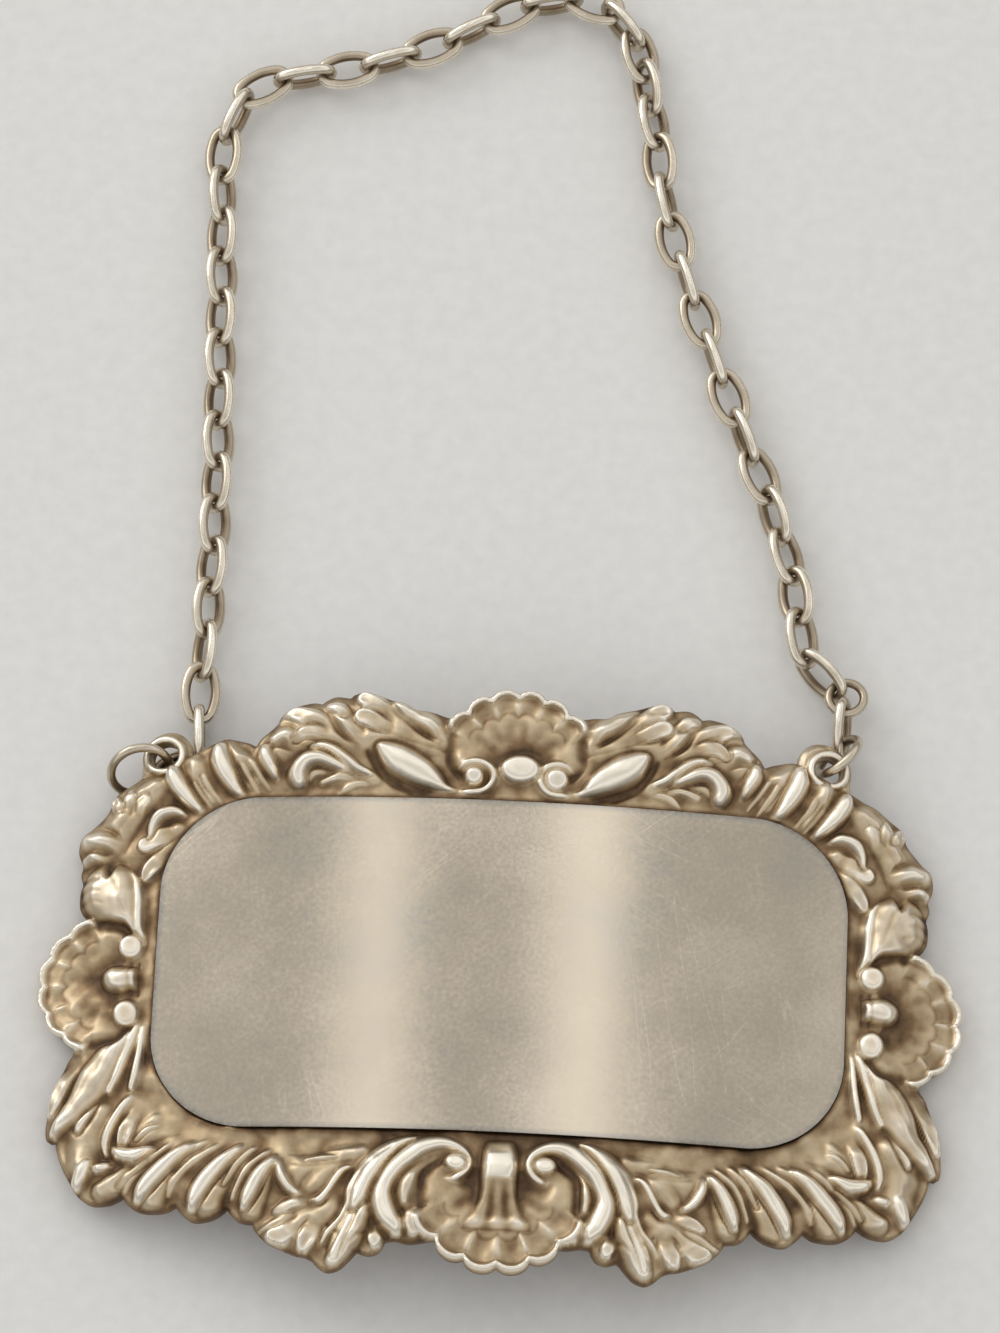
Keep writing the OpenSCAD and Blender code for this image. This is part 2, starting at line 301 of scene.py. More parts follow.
def cupped(u, s):
    """A leaf with a soft hollow between its raised edges, which curl up and wear bright towards the tip."""
    edge = ease((np.abs(u) - 0.4) / 0.3) * ease(s * 1.7 - 0.4)
    level = (0.66 + 0.34 * edge) * np.clip(1 - np.abs(u) ** 6, 0, 1) ** 0.6
    return level, 0.56 + 0.44 * edge


# Ways of laying a stroke: the ditch's width and depth part it from its neighbours, rise is the share of its
# length over which it comes out of what lies under it, and one that melts never cuts into that.
Kind = namedtuple("Kind", "profile height shine ditch depth rise melts")
KINDS = {
    "mass": Kind(swelling, 0.55, 0.46, 0, 0, 0, True),
    "swell": Kind(swelling, 0.3, 0.48, 0, 0, 0, True),
    "lump": Kind(swelling, 0.75, 0.5, 0.12, 0.03, 0.4, False),
    # Dark gadroon sides, laid as painted shade beside the bright lobes
    "flank": Kind(rounded, 0.6, 0.38, 0.16, 0.08, 0.3, False),
    "leaf": Kind(cupped, 0.85, 0.9, 0.14, 0.08, 0.4, False),
    "cheek": Kind(pillow, 0.85, 0.55, 0.16, 0.12, 0.1, False),
    "broad": Kind(pillow, 0.9, 0.82, 0.16, 0.13, 0.12, False),
    "blade": Kind(pillow, 0.88, 0.84, 0.1, 0.04, 0.1, False),
    "lobe": Kind(rounded, 0.92, 0.88, 0.14, 0.12, 0.1, False),
    "lip": Kind(rounded, 1.0, 0.86, 0, 0, 0.15, False),
    "flute": Kind(rounded, 0.6, 0.66, 0.12, 0.08, 0.15, False),
}

# Ways of cutting a groove: depth, and darkness of its patina and painted shade
GROOVES = {"groove": (0.22, 0.45), "hollow": (0.3, 0.0), "vein": (0.09, 0.3)}

# Motifs of the border, laid in this order on its right half as (x, y, half width) and mirrored to the left

TOP_LEAVES = [
    ("mass", [(5.6, 16.2, 1.0), (7.4, 16.8, 1.7), (10.0, 17.2, 2.1), (12.4, 16.9, 2.1), (14.6, 16.3, 1.6),
              (16.0, 15.5, 0.9)]),
    ("swell", [(9.0, 13.6, 0.4), (10.6, 14.0, 0.9), (12.2, 14.3, 1.1), (13.3, 14.0, 0.9)]),
    ("lump", [(4.9, 16.3, 0.5), (5.8, 17.3, 0.8), (6.9, 18.1, 0.75), (8.1, 18.7, 0.45)]),
    ("lump", [(10.0, 16.2, 0.5), (10.8, 17.2, 0.8), (11.4, 18.1, 0.75)]),
    ("lump", [(13.6, 15.6, 0.5), (14.7, 16.5, 0.8), (15.5, 16.2, 0.5)]),
    ("leaf", [(10.6, 17.6, 0.25), (11.3, 18.3, 0.46), (12.0, 18.45, 0.34)]),
    ("leaf", [(11.6, 16.9, 0.4), (12.8, 17.5, 0.78), (13.9, 17.95, 0.6), (14.8, 18.0, 0.26)]),
    ("leaf", [(7.6, 17.6, 0.3), (8.8, 18.5, 0.6), (9.6, 18.95, 0.66), (9.85, 19.05, 0.6)]),
    ("hollow", [(4.9, 15.7, 0.4), (6.5, 16.4, 0.95), (8.0, 17.0, 0.9), (9.2, 17.5, 0.35)]),
    ("leaf", [(7.8, 16.8, 0.3), (8.8, 17.3, 0.55), (9.6, 17.7, 0.64), (9.95, 17.8, 0.6)]),
    ("leaf", [(11.8, 16.2, 0.3), (12.7, 16.7, 0.56), (13.5, 16.65, 0.5), (14.0, 16.2, 0.26)]),
    ("vein", [(5.0, 15.6, 0.1), (6.4, 16.0, 0.16), (7.8, 16.5, 0.16), (8.8, 17.0, 0.1)]),
    ("vein", [(5.0, 16.2, 0.1), (6.2, 16.7, 0.16), (7.4, 17.3, 0.16), (8.6, 18.1, 0.1)]),
    ("vein", [(10.0, 15.8, 0.1), (11.0, 16.4, 0.16), (12.0, 17.0, 0.16), (13.4, 17.6, 0.1)]),
    ("vein", [(9.8, 16.4, 0.1), (10.5, 17.0, 0.16), (11.0, 17.9, 0.12)]),
    ("vein", [(13.0, 15.6, 0.1), (13.9, 15.9, 0.16), (14.8, 16.0, 0.12)]),
    ("groove", [(9.6, 15.5, 0.2), (9.1, 14.6, 0.34), (8.2, 13.5, 0.34), (6.8, 12.75, 0.15)]),
    ("lobe", [(8.9, 13.85, 0.12), (10.0, 14.2, 0.34), (10.8, 14.8, 0.44), (11.6, 15.4, 0.48),
              (12.4, 15.7, 0.4), (13.0, 15.6, 0.2)]),
    ("flute", [(9.3, 13.2, 0.1), (10.1, 13.3, 0.26), (10.8, 12.95, 0.26), (11.25, 12.4, 0.12)]),
    ("flute", [(10.2, 13.55, 0.12), (11.2, 13.7, 0.3), (12.3, 13.35, 0.26)]),
    ("flute", [(11.9, 14.0, 0.12), (12.7, 13.95, 0.28), (13.2, 13.5, 0.24)]),
    ("lobe", [(10.4, 14.0, 0.12), (11.5, 14.5, 0.4), (12.4, 14.9, 0.56), (13.1, 14.85, 0.64),
              (13.6, 14.4, 0.66), (13.85, 13.8, 0.72), (13.7, 13.35, 0.6)]),
    ("broad", [(4.0, 12.95, 0.12), (4.9, 13.1, 0.32), (5.7, 13.65, 0.78), (6.6, 14.25, 1.05),
               (7.5, 14.8, 1.12), (8.2, 15.3, 0.88), (8.7, 15.65, 0.5)]),
]
TOP_GADROONS = [
    ("mass", [(18.4, 15.8, 0.6), (17.6, 14.8, 0.9), (16.8, 13.4, 0.6)]),
    ("mass", [(20.6, 14.8, 0.7), (20.2, 13.6, 0.8), (19.4, 12.4, 0.5)]),
    ("flute", [(17.0, 15.1, 0.22), (16.4, 14.1, 0.24), (15.6, 12.9, 0.1)]),
    ("flute", [(17.6, 14.9, 0.22), (17.0, 13.8, 0.24), (16.2, 12.5, 0.1)]),
    ("flute", [(20.0, 14.1, 0.22), (19.5, 13.1, 0.24), (18.6, 11.9, 0.1)]),
    ("flute", [(20.6, 13.6, 0.18), (20.1, 12.7, 0.22), (19.3, 11.7, 0.1)]),
    ("broad", [(15.1, 13.4, 0.1), (15.5, 14.3, 0.5), (15.9, 15.1, 0.58), (15.95, 15.6, 0.42)]),
    ("broad", [(17.0, 12.1, 0.1), (17.75, 12.95, 0.5), (18.35, 13.9, 0.7), (18.8, 14.9, 0.72),
               (18.9, 15.7, 0.5)]),
    ("broad", [(19.7, 11.25, 0.1), (20.5, 12.0, 0.5), (21.2, 12.8, 0.66), (21.75, 13.7, 0.66),
               (21.95, 14.3, 0.45)]),
]
TOP_CORNER = [
    ("mass", [(23.0, 13.2, 0.9), (24.6, 11.6, 1.3), (25.4, 10.2, 1.3), (26.2, 9.0, 1.1)]),
    ("mass", [(21.5, 10.2, 0.7), (22.3, 8.9, 0.8), (22.8, 7.4, 0.5)]),
    ("vein", [(22.6, 13.4, 0.1), (23.8, 12.2, 0.22), (24.8, 10.8, 0.22), (25.6, 9.4, 0.1)]),
    ("vein", [(23.8, 13.6, 0.1), (24.8, 12.4, 0.22), (25.8, 10.9, 0.22), (26.6, 9.8, 0.1)]),
    ("vein", [(22.4, 12.0, 0.1), (23.4, 11.2, 0.2), (24.2, 10.0, 0.2), (24.8, 8.6, 0.1)]),
    ("leaf", [(24.1, 10.9, 0.4), (23.9, 11.8, 0.46), (23.6, 12.2, 0.4)]),
    ("leaf", [(24.6, 11.2, 0.35), (24.65, 12.2, 0.42), (24.6, 12.8, 0.26)]),
    ("leaf", [(25.2, 11.2, 0.35), (25.45, 11.9, 0.44), (25.6, 12.3, 0.34)]),
    ("lump", [(25.0, 9.0, 0.4), (26.1, 9.5, 0.85), (27.1, 9.5, 0.7)]),
    ("lump", [(25.7, 8.1, 0.35), (26.7, 8.4, 0.5), (27.3, 8.2, 0.45)]),
    ("leaf", [(21.3, 10.3, 0.35), (22.3, 9.8, 0.62), (23.0, 9.4, 0.64), (23.4, 9.05, 0.52)]),
    ("leaf", [(21.9, 8.8, 0.4), (22.6, 8.1, 0.58), (23.1, 7.4, 0.48), (23.3, 7.0, 0.32)]),
    ("lobe", [(20.8, 11.1, 0.1), (21.6, 11.45, 0.4), (22.5, 11.15, 0.46), (23.0, 10.45, 0.36),
              (23.2, 9.7, 0.16)]),
]
SIDE_PLATE = [
    ("cheek", [(23.4, 0.0, 0.72), (23.9, 0.0, 0.8), (24.4, -0.05, 0.88), (24.8, -0.05, 0.92)]),
    ("groove", [(23.4, -1.1, 0.1), (23.35, 0.0, 0.16), (23.4, 1.1, 0.1)]),
    ("groove", [(23.85, -1.1, 0.1), (23.85, 0.0, 0.16), (23.85, 1.1, 0.1)]),
]
SIDE_LEAVES = [
    ("cheek", [(25.6, 7.1, 1.0), (25.5, 5.9, 1.95), (24.9, 4.9, 1.45), (24.1, 4.1, 0.78), (23.55, 3.3, 0.44),
               (23.2, 2.4, 0.24)]),
    ("groove", [(26.2, 6.8, 0.1), (26.9, 6.75, 0.25), (27.7, 6.6, 0.3)]),
    ("vein", [(26.0, 5.9, 0.1), (26.8, 6.0, 0.22), (27.6, 5.9, 0.22)]),
    ("vein", [(25.8, 5.1, 0.1), (26.6, 5.3, 0.22), (27.5, 5.2, 0.22)]),
    ("vein", [(25.6, 7.4, 0.1), (25.0, 6.4, 0.2), (24.6, 5.2, 0.2), (24.3, 4.4, 0.1)]),
    ("lip", [(24.5, 7.7, 0.08), (23.85, 6.8, 0.2), (23.6, 5.6, 0.3), (23.55, 4.4, 0.3), (23.45, 3.3, 0.28),
             (23.2, 2.4, 0.2)]),
    ("mass", [(25.2, -9.0, 0.8), (26.0, -10.8, 1.3), (26.0, -12.4, 1.2)]),
    ("leaf", [(27.0, -5.6, 0.35), (27.6, -6.9, 0.6), (28.1, -8.1, 0.55), (28.4, -9.0, 0.35)]),
    ("broad", [(24.5, -5.6, 0.4), (24.95, -6.8, 0.52), (25.15, -7.5, 0.36)]),
    ("broad", [(25.3, -7.3, 0.4), (25.95, -8.8, 0.52), (26.5, -10.2, 0.3)]),
    ("cheek", [(23.5, -3.0, 0.36), (24.1, -4.4, 0.82), (24.9, -5.7, 1.15), (25.7, -7.0, 1.18),
               (26.5, -8.3, 0.9), (27.3, -9.5, 0.64), (28.1, -10.5, 0.38)]),
    ("vein", [(24.4, -4.2, 0.1), (25.3, -5.8, 0.2), (26.3, -7.6, 0.2), (27.4, -9.4, 0.1)]),
    ("vein", [(25.6, -5.0, 0.1), (26.6, -6.4, 0.2), (27.6, -8.2, 0.12)]),
    ("lip", [(23.1, -2.5, 0.14), (23.35, -3.7, 0.26), (23.75, -5.2, 0.28), (24.2, -6.6, 0.28),
             (24.7, -7.7, 0.2)]),
    ("lobe", [(22.75, -2.8, 0.12), (22.9, -4.4, 0.26), (23.05, -6.0, 0.32), (23.3, -7.4, 0.24)]),
]
BOTTOM_CORNER = [
    ("swell", [(21.6, -9.4, 0.4), (22.2, -10.4, 0.8), (22.8, -11.2, 0.7)]),
    ("vein", [(20.0, -10.5, 0.1), (21.2, -10.9, 0.2), (22.4, -11.5, 0.1)]),
    ("flute", [(21.2, -9.9, 0.1), (22.0, -10.2, 0.24), (22.7, -10.9, 0.2)]),
    ("vein", [(25.0, -9.2, 0.1), (25.7, -10.8, 0.24), (26.0, -12.2, 0.1)]),
    ("vein", [(26.2, -10.2, 0.1), (26.8, -11.4, 0.24), (26.9, -12.6, 0.1)]),
    ("leaf", [(22.7, -8.7, 0.3), (23.3, -10.1, 0.52), (23.55, -11.1, 0.4)]),
    ("lip", [(22.9, -7.5, 0.12), (23.75, -8.8, 0.3), (24.35, -10.0, 0.34), (24.65, -11.1, 0.32),
             (24.6, -11.9, 0.18)]),
    ("broad", [(21.3, -11.4, 0.12), (22.0, -11.8, 0.48), (22.9, -12.05, 0.64), (23.7, -11.85, 0.5),
               (24.15, -11.4, 0.14)]),
    ("lobe", [(24.2, -12.6, 0.2), (24.8, -12.8, 0.44), (25.2, -12.85, 0.38)]),
    ("broad", [(25.6, -12.1, 0.25), (26.05, -13.1, 0.58), (26.4, -13.9, 0.46)]),
]
BOTTOM_GADROONS = [
    # The gadroons' dark sides are painted shade
    ("flank", [(13.9, -12.2, 0.3), (14.7, -14.0, 0.8), (15.1, -15.6, 0.8)]),
    ("flank", [(15.7, -11.4, 0.3), (17.2, -13.3, 0.9), (17.9, -15.2, 1.0)]),
    ("flank", [(18.9, -11.4, 0.3), (20.6, -13.1, 0.9), (21.5, -14.8, 0.95)]),
    ("flank", [(22.6, -12.5, 0.3), (24.0, -13.9, 0.75), (24.8, -14.3, 0.65)]),
    ("flute", [(14.0, -11.4, 0.2), (15.5, -12.9, 0.26), (16.4, -14.9, 0.18)]),
    ("flute", [(14.9, -11.2, 0.2), (16.1, -12.5, 0.24), (16.9, -14.0, 0.14)]),
    ("flute", [(16.9, -10.95, 0.2), (18.9, -12.4, 0.28), (20.0, -13.6, 0.28), (20.4, -14.7, 0.16)]),
    ("flute", [(18.0, -10.95, 0.2), (19.7, -12.1, 0.24), (20.6, -13.2, 0.16)]),
    ("flute", [(20.2, -10.95, 0.2), (21.6, -12.2, 0.26), (22.7, -13.4, 0.26), (23.3, -14.4, 0.16)]),
    ("flute", [(21.6, -12.2, 0.2), (22.9, -13.2, 0.24), (23.6, -14.1, 0.16)]),
    ("lobe", [(13.6, -11.9, 0.2), (14.6, -13.25, 0.54), (15.2, -14.5, 0.6), (15.5, -15.4, 0.4)]),
    ("lobe", [(15.6, -11.1, 0.2), (17.0, -12.4, 0.56), (18.0, -13.6, 0.68), (18.55, -14.6, 0.64),
              (18.8, -15.5, 0.4)]),
    ("lobe", [(18.7, -11.0, 0.2), (20.2, -12.2, 0.56), (21.2, -13.2, 0.68), (21.9, -14.1, 0.64),
              (22.3, -14.9, 0.4)]),
]
BOTTOM_LEAVES = [
    ("mass", [(8.2, -15.2, 0.6), (9.0, -16.8, 1.0), (9.8, -18.4, 1.0)]),
    ("mass", [(10.4, -15.4, 0.9), (11.6, -16.6, 1.3), (13.0, -17.0, 1.2), (13.9, -16.9, 0.8)]),
    ("swell", [(9.8, -11.9, 0.6), (11.2, -12.7, 1.2), (12.1, -13.3, 1.2)]),
    ("swell", [(8.6, -11.5, 0.5), (9.8, -11.8, 0.7), (10.6, -11.8, 0.5)]),
    ("swell", [(10.2, -12.8, 0.5), (11.0, -13.4, 0.8), (11.5, -14.1, 0.5)]),
    ("vein", [(9.2, -12.2, 0.1), (10.4, -12.5, 0.2), (11.8, -12.7, 0.2), (12.8, -12.5, 0.1)]),
    ("vein", [(8.8, -11.2, 0.1), (10.2, -11.5, 0.2), (11.8, -11.9, 0.2), (13.0, -11.9, 0.1)]),
    ("flute", [(9.8, -12.0, 0.1), (10.9, -12.1, 0.24), (11.9, -12.3, 0.12)]),
    ("vein", [(11.4, -13.0, 0.1), (12.0, -13.6, 0.2), (12.2, -14.3, 0.12)]),
    ("cheek", [(8.2, -14.4, 0.5), (8.6, -15.6, 0.85), (9.0, -16.8, 1.0), (9.5, -18.0, 0.88),
               (9.9, -18.8, 0.6)]),
    ("groove", [(10.4, -16.6, 0.2), (9.9, -17.0, 0.2), (9.5, -17.6, 0.08)]),
    ("groove", [(8.0, -17.0, 0.2), (8.5, -17.2, 0.2), (9.0, -17.7, 0.08)]),
    ("lip", [(8.4, -14.6, 0.1), (8.95, -16.0, 0.24), (9.45, -17.2, 0.28), (9.95, -18.6, 0.34)]),
    ("leaf", [(7.9, -16.6, 0.3), (7.6, -17.4, 0.5), (7.5, -17.7, 0.42)]),
    ("leaf", [(11.0, -16.2, 0.4), (11.5, -17.4, 0.7), (11.75, -18.0, 0.48)]),
    ("leaf", [(12.0, -16.4, 0.4), (13.1, -17.3, 0.8), (13.6, -17.4, 0.62)]),
    ("leaf", [(11.4, -15.0, 0.25), (12.6, -15.35, 0.46), (13.5, -15.75, 0.28)]),
    ("flute", [(12.2, -15.9, 0.1), (13.3, -16.35, 0.28), (14.5, -17.0, 0.2)]),
    ("lobe", [(12.0, -14.65, 0.12), (12.75, -14.25, 0.4), (13.25, -13.5, 0.46), (13.45, -12.75, 0.3),
              (13.4, -12.3, 0.1)]),
    ("lobe", [(9.0, -12.65, 0.1), (9.6, -12.9, 0.24), (10.05, -13.55, 0.28), (10.5, -14.4, 0.28),
              (10.95, -15.0, 0.32), (11.35, -15.0, 0.2)]),
    ("leaf", [(5.6, -15.0, 0.3), (5.5, -16.0, 0.55), (5.4, -16.8, 0.42)]),
    ("lump", [(4.9, -12.2, 0.4), (5.6, -13.2, 0.7), (6.0, -14.2, 0.75), (6.0, -15.0, 0.5)]),
    ("blade", [(4.6, -10.95, 0.3), (5.9, -11.2, 0.7), (7.0, -11.9, 1.0), (7.9, -13.0, 1.05),
               (8.5, -14.2, 0.85), (8.9, -15.3, 0.45)]),
    ("vein", [(6.8, -11.3, 0.1), (7.8, -12.2, 0.22), (8.5, -13.4, 0.22), (8.9, -14.8, 0.1)]),
    ("vein", [(7.0, -12.4, 0.1), (7.7, -13.4, 0.2), (8.2, -14.6, 0.1)]),
    ("lip", [(7.9, -12.1, 0.08), (8.8, -13.2, 0.18), (9.25, -14.3, 0.22), (9.3, -15.2, 0.2),
             (9.7, -16.2, 0.2), (10.35, -17.1, 0.22), (10.7, -17.8, 0.12)]),
    ("blade", [(4.0, -13.25, 0.1), (3.3, -13.35, 0.24), (2.65, -12.95, 0.3), (2.4, -12.25, 0.33),
               (2.65, -11.55, 0.36), (3.3, -11.1, 0.44), (4.2, -11.0, 0.54), (5.1, -11.25, 0.66),
               (5.9, -11.9, 0.7), (6.6, -12.75, 0.66), (7.05, -13.6, 0.64), (7.3, -14.4, 0.72),
               (7.25, -15.1, 0.84), (6.95, -15.9, 0.84), (6.55, -16.5, 0.68), (6.35, -16.9, 0.4)]),
]
TOP_VOLUTE = [
    (4.3, 13.0, 0.2), (3.4, 12.85, 0.26), (2.5, 13.05, 0.26), (1.98, 13.7, 0.25), (2.1, 14.45, 0.23),
    (2.8, 14.9, 0.2), (3.6, 14.85, 0.16), (4.1, 14.45, 0.07),
]

# The two strokes that lap over the shells and are laid once more after them
OVER_SHELLS = BOTTOM_LEAVES[-1:] + TOP_LEAVES[-1:]

# Bosses, in the order they are laid: (x, y, half width, half height, rise, shine)
BOSSES = [
    (0.7, 14.5, 1.34, 1.0, 0.6, CRISP),
    (-2.28, 13.9, 0.68, 0.64, 0.6, CRISP),
    (3.12, 13.88, 0.8, 0.76, 0.6, CRISP),
    (-2.25, -12.22, 0.76, 0.62, 0.65, CRISP),
    (3.45, -12.22, 0.76, 0.62, 0.65, CRISP),
    (-23.95, 2.2, 0.8, 0.88, 0.55, WORN),
    (-23.98, -2.35, 0.82, 0.98, 0.55, WORN),
    (23.95, 2.2, 0.8, 0.88, 0.55, WORN),
    (23.98, -2.35, 0.82, 0.98, 0.55, WORN),
]

# The border's edge on its right half, in smooth runs that meet at points and notches
EDGE_RUNS = [
    [(0, 17.0), (2.0, 17.2), (4.9, 18.3), (6.3, 18.45), (6.9, 18.85), (8.0, 19.2), (8.9, 19.5),
     (9.7, 19.7), (10.35, 19.55), (10.6, 19.3)],
    [(10.6, 19.3), (11.5, 19.4), (12.1, 19.15), (12.45, 18.85)],
    [(12.45, 18.85), (13.0, 18.95), (13.9, 18.75), (14.6, 18.4), (15.1, 17.9), (15.25, 17.45)],
    [(15.25, 17.45), (15.7, 17.0), (16.3, 16.45), (16.6, 15.9)],
    [(16.6, 15.9), (17.1, 16.15), (17.8, 16.35), (18.6, 16.5), (19.4, 16.2), (20.8, 15.5), (22.2, 14.9),
     (23.2, 14.35), (24.0, 14.0), (24.9, 13.35), (25.6, 12.9), (25.95, 12.45), (26.1, 11.85)],
    [(26.1, 11.85), (26.4, 11.35), (26.8, 10.9), (27.2, 10.45)],
    [(27.2, 10.45), (27.75, 10.0), (27.95, 9.3), (27.9, 8.65), (27.6, 8.0)],
    [(27.6, 8.0), (27.75, 7.4), (27.55, 6.75)],
    [(27.55, 6.75), (27.7, 6.0), (27.65, 5.2), (27.4, 4.6), (26.8, 3.6), (26.6, 0), (26.8, -3.8),
     (27.2, -4.8), (27.7, -5.4), (28.1, -6.3), (28.5, -7.3), (28.65, -8.3)],
    [(28.65, -8.3), (28.8, -9.3), (28.85, -10.2), (28.7, -10.75), (28.3, -10.7), (28.1, -10.95)],
    [(28.1, -10.95), (27.95, -11.6), (27.6, -12.5), (27.05, -13.5), (26.5, -14.4), (26.0, -14.85),
     (25.4, -15.05), (24.5, -15.0), (23.9, -14.75), (23.55, -14.5)],
    [(23.55, -14.5), (23.1, -15.15), (22.4, -15.55), (21.5, -15.65), (20.7, -15.55), (20.1, -15.2)],
    [(20.1, -15.2), (19.6, -15.8), (18.9, -16.25), (17.9, -16.15), (17.2, -15.8), (16.75, -15.4)],
    [(16.75, -15.4), (16.3, -16.0), (15.8, -16.3), (15.05, -16.4)],
    [(15.05, -16.4), (14.8, -16.95), (14.1, -17.6), (13.3, -18.0), (12.3, -18.4), (11.6, -18.55),
     (11.15, -18.75)],
    [(11.15, -18.75), (10.7, -19.2), (10.1, -19.5), (9.4, -19.3), (8.9, -18.85), (8.3, -18.15)],
    [(8.3, -18.15), (7.6, -18.35), (7.0, -18.2), (6.7, -17.85), (6.5, -17.4)],
    [(6.5, -17.4), (5.8, -17.35), (4.9, -17.5), (3.0, -17.2), (0, -17.0)],
]

# Shells: middle of the fan, way it faces in degrees, reach, depth of the scallops, turn from lobe to lobe and
# length of the hollow cells behind the rim
Shell = namedtuple("Shell", "x y facing reach scallop pitch cell")
TOP_SHELL = Shell(0.42, 14.6, 90, 5.35, 0.62, 20.7, 0.55)
BOTTOM_SHELL = Shell(0.62, -13.3, 270, 6.05, 0.75, 22.5, 0.8)
RIGHT_SHELL = Shell(25.1, -0.35, 0, 4.78, 0.5, 25, 0.55)
LEFT_SHELL = Shell(-25.1, -0.35, 180, 4.78, 0.5, 25, 0.55)
SHELLS = (TOP_SHELL, RIGHT_SHELL, LEFT_SHELL, BOTTOM_SHELL)

# Lobes of a shell, the turn to each side over which it is laid, the room left round it, its rim and shine
SHELL_LOBES = 6
SHELL_SPREAD = 118
SHELL_SPARE = 0.6
SHELL_RIM_W = 0.38
SHELL_RIM_H = 0.86
SHELL_SHINE = 0.44

# The tongue above the bottom shell, from the panel down: (y, half width, height, shine)
# Its shine is a painted highlight on the bend and painted shade on the slope below
TONGUE = [
    (-10.7, 0.9, 0.5, 0.3), (-11.45, 1.1, 0.85, 0.42), (-11.8, 1.12, 0.92, 0.95), (-12.4, 1.15, 0.95, 1.0),
    (-13.1, 1.15, 0.85, 0.95), (-13.4, 1.15, 0.75, 0.22), (-14.6, 1.25, 0.4, 0.14), (-15.6, 1.6, 0.2, 0.35),
    (-16.1, 2.0, 0.25, 0.66), (-16.5, 2.1, 0.1, 0.4),
]
TONGUE_X = 0.55

# Above its bend the tongue is painted darker along its sides, a painted shade as of flat faces, and its
# flutes begin at about the same height
TONGUE_BEND = -13.2
TONGUE_FLUTES = -13
TONGUE_SPARE = 2.4

# How far the shells' middle sits right of the label's, and how far out the motifs on the left follow it
MIDDLE = 0.5
MIDDLE_REACH = 9


def mirrored(points):
    """The same motif on the left half. Near the middle it follows the shells a little to the right."""
    return [(-x + 2 * MIDDLE * bell(x, MIDDLE_REACH), *rest) for x, *rest in points]


def both_sides(lattice, motifs):
    for kind, points in motifs:
        if kind in GROOVES:
            lattice.groove(points, *GROOVES[kind])
            lattice.groove(mirrored(points), *GROOVES[kind])
        else:
            lattice.stroke(points, KINDS[kind])
            lattice.stroke(mirrored(points), KINDS[kind], flip=True)


def fan(lattice, shell):
    """The lattice's window round a shell, and for each point there its radius, its turn from the way the
    shell faces, its place across a lobe from -0.5 to 0.5 and the shell's edge in its direction."""
    window = lattice.window(np.array([[shell.x, shell.y]]), shell.reach + SHELL_SPARE)
    dx, dy = lattice.x[window] - shell.x, lattice.y[window] - shell.y
    turn = (np.degrees(np.arctan2(dy, dx)) - shell.facing + 180) % 360 - 180
    phase = turn / shell.pitch - np.floor(turn / shell.pitch) - 0.5
    root = shell.reach - shell.scallop
    scalloped = root + shell.scallop * np.sqrt(np.clip(1 - 3.6 * phase ** 2, 0, 1))
    past = np.abs(turn) - shell.pitch * SHELL_LOBES / 2
    plain = root * (1 - 0.05 * ease(past / 20) - 0.3 * ease((past - 20) / 35))
    return window, np.hypot(dx, dy), turn, phase, np.where(past < 0, scalloped, plain)


def fan_outside(lattice, shell):
    """How far each point lies outside the front half of a shell."""
    window, radius, turn, _, edge = fan(lattice, shell)
    outside = np.full(lattice.x.shape, np.inf)
    outside[window] = np.where(np.abs(turn) < 90, radius - edge, np.inf)
    return outside


def lay_shell(lattice, shell):
    """A scalloped shell: a thin bright rim, a row of hollow cells between pale ridges, and a fluted dish."""
    window, radius, turn, phase, edge = fan(lattice, shell)
    outside = np.where(np.abs(turn) < SHELL_SPREAD, radius - edge, np.inf)
    lattice.cut_ditch(window, np.maximum(outside, 0), width=0.25, depth=0.25)
    inward = edge - radius
    lobed = ease((shell.pitch * SHELL_LOBES / 2 - np.abs(turn)) / 5)
    rim = ease((SHELL_RIM_W - inward) / 0.14) * lobed
    step = bell(inward - SHELL_RIM_W - 0.1, 0.1) * lobed
    cells_end = 0.45 + 2 * shell.cell
    row = ease((inward - 0.4) / 0.25) * ease((cells_end - inward) / 0.35) * lobed
    cell = row * np.clip(1 - (2.2 * phase) ** 2, 0, 1)
    ridge = row * ease((np.abs(phase) - 0.36) / 0.12)
    line = bell(inward - cells_end, 0.12) * lobed
    flute = (0.5 + 0.5 * np.cos(2 * np.pi * phase)) * ease((radius - 1.4) / 1.5) * ease(inward - cells_end)
    side = (1 - lobed) * ease(1 - inward / 0.9)
    dish = 0.6 * (radius / shell.reach) ** 2 - 0.15
    level = dish - 0.07 * flute - 0.14 * cell + 0.1 * ridge - 0.1 * line - 0.1 * step - 0.4 * side
    level += (SHELL_RIM_H - level) * rim
    # Painted shade darkens the flutes' hollows, the cells, the line past them, the step inside the rim, the
    # plain sides and the dish's middle; the ridges and the rim are lighter
    shine = SHELL_SHINE - 0.06 * flute - 0.06 * cell + 0.2 * ridge - 0.2 * line - 0.16 * step - 0.14 * side
    shine -= 0.22 * ease((2.9 - radius) / 1.4)
    shine += (1 - shine) * rim
    covered = np.where(np.abs(turn) < 90, outside - 0.12, outside)
    lattice.lay(window, lattice.cover(covered), lattice.base[window] + level, shine)


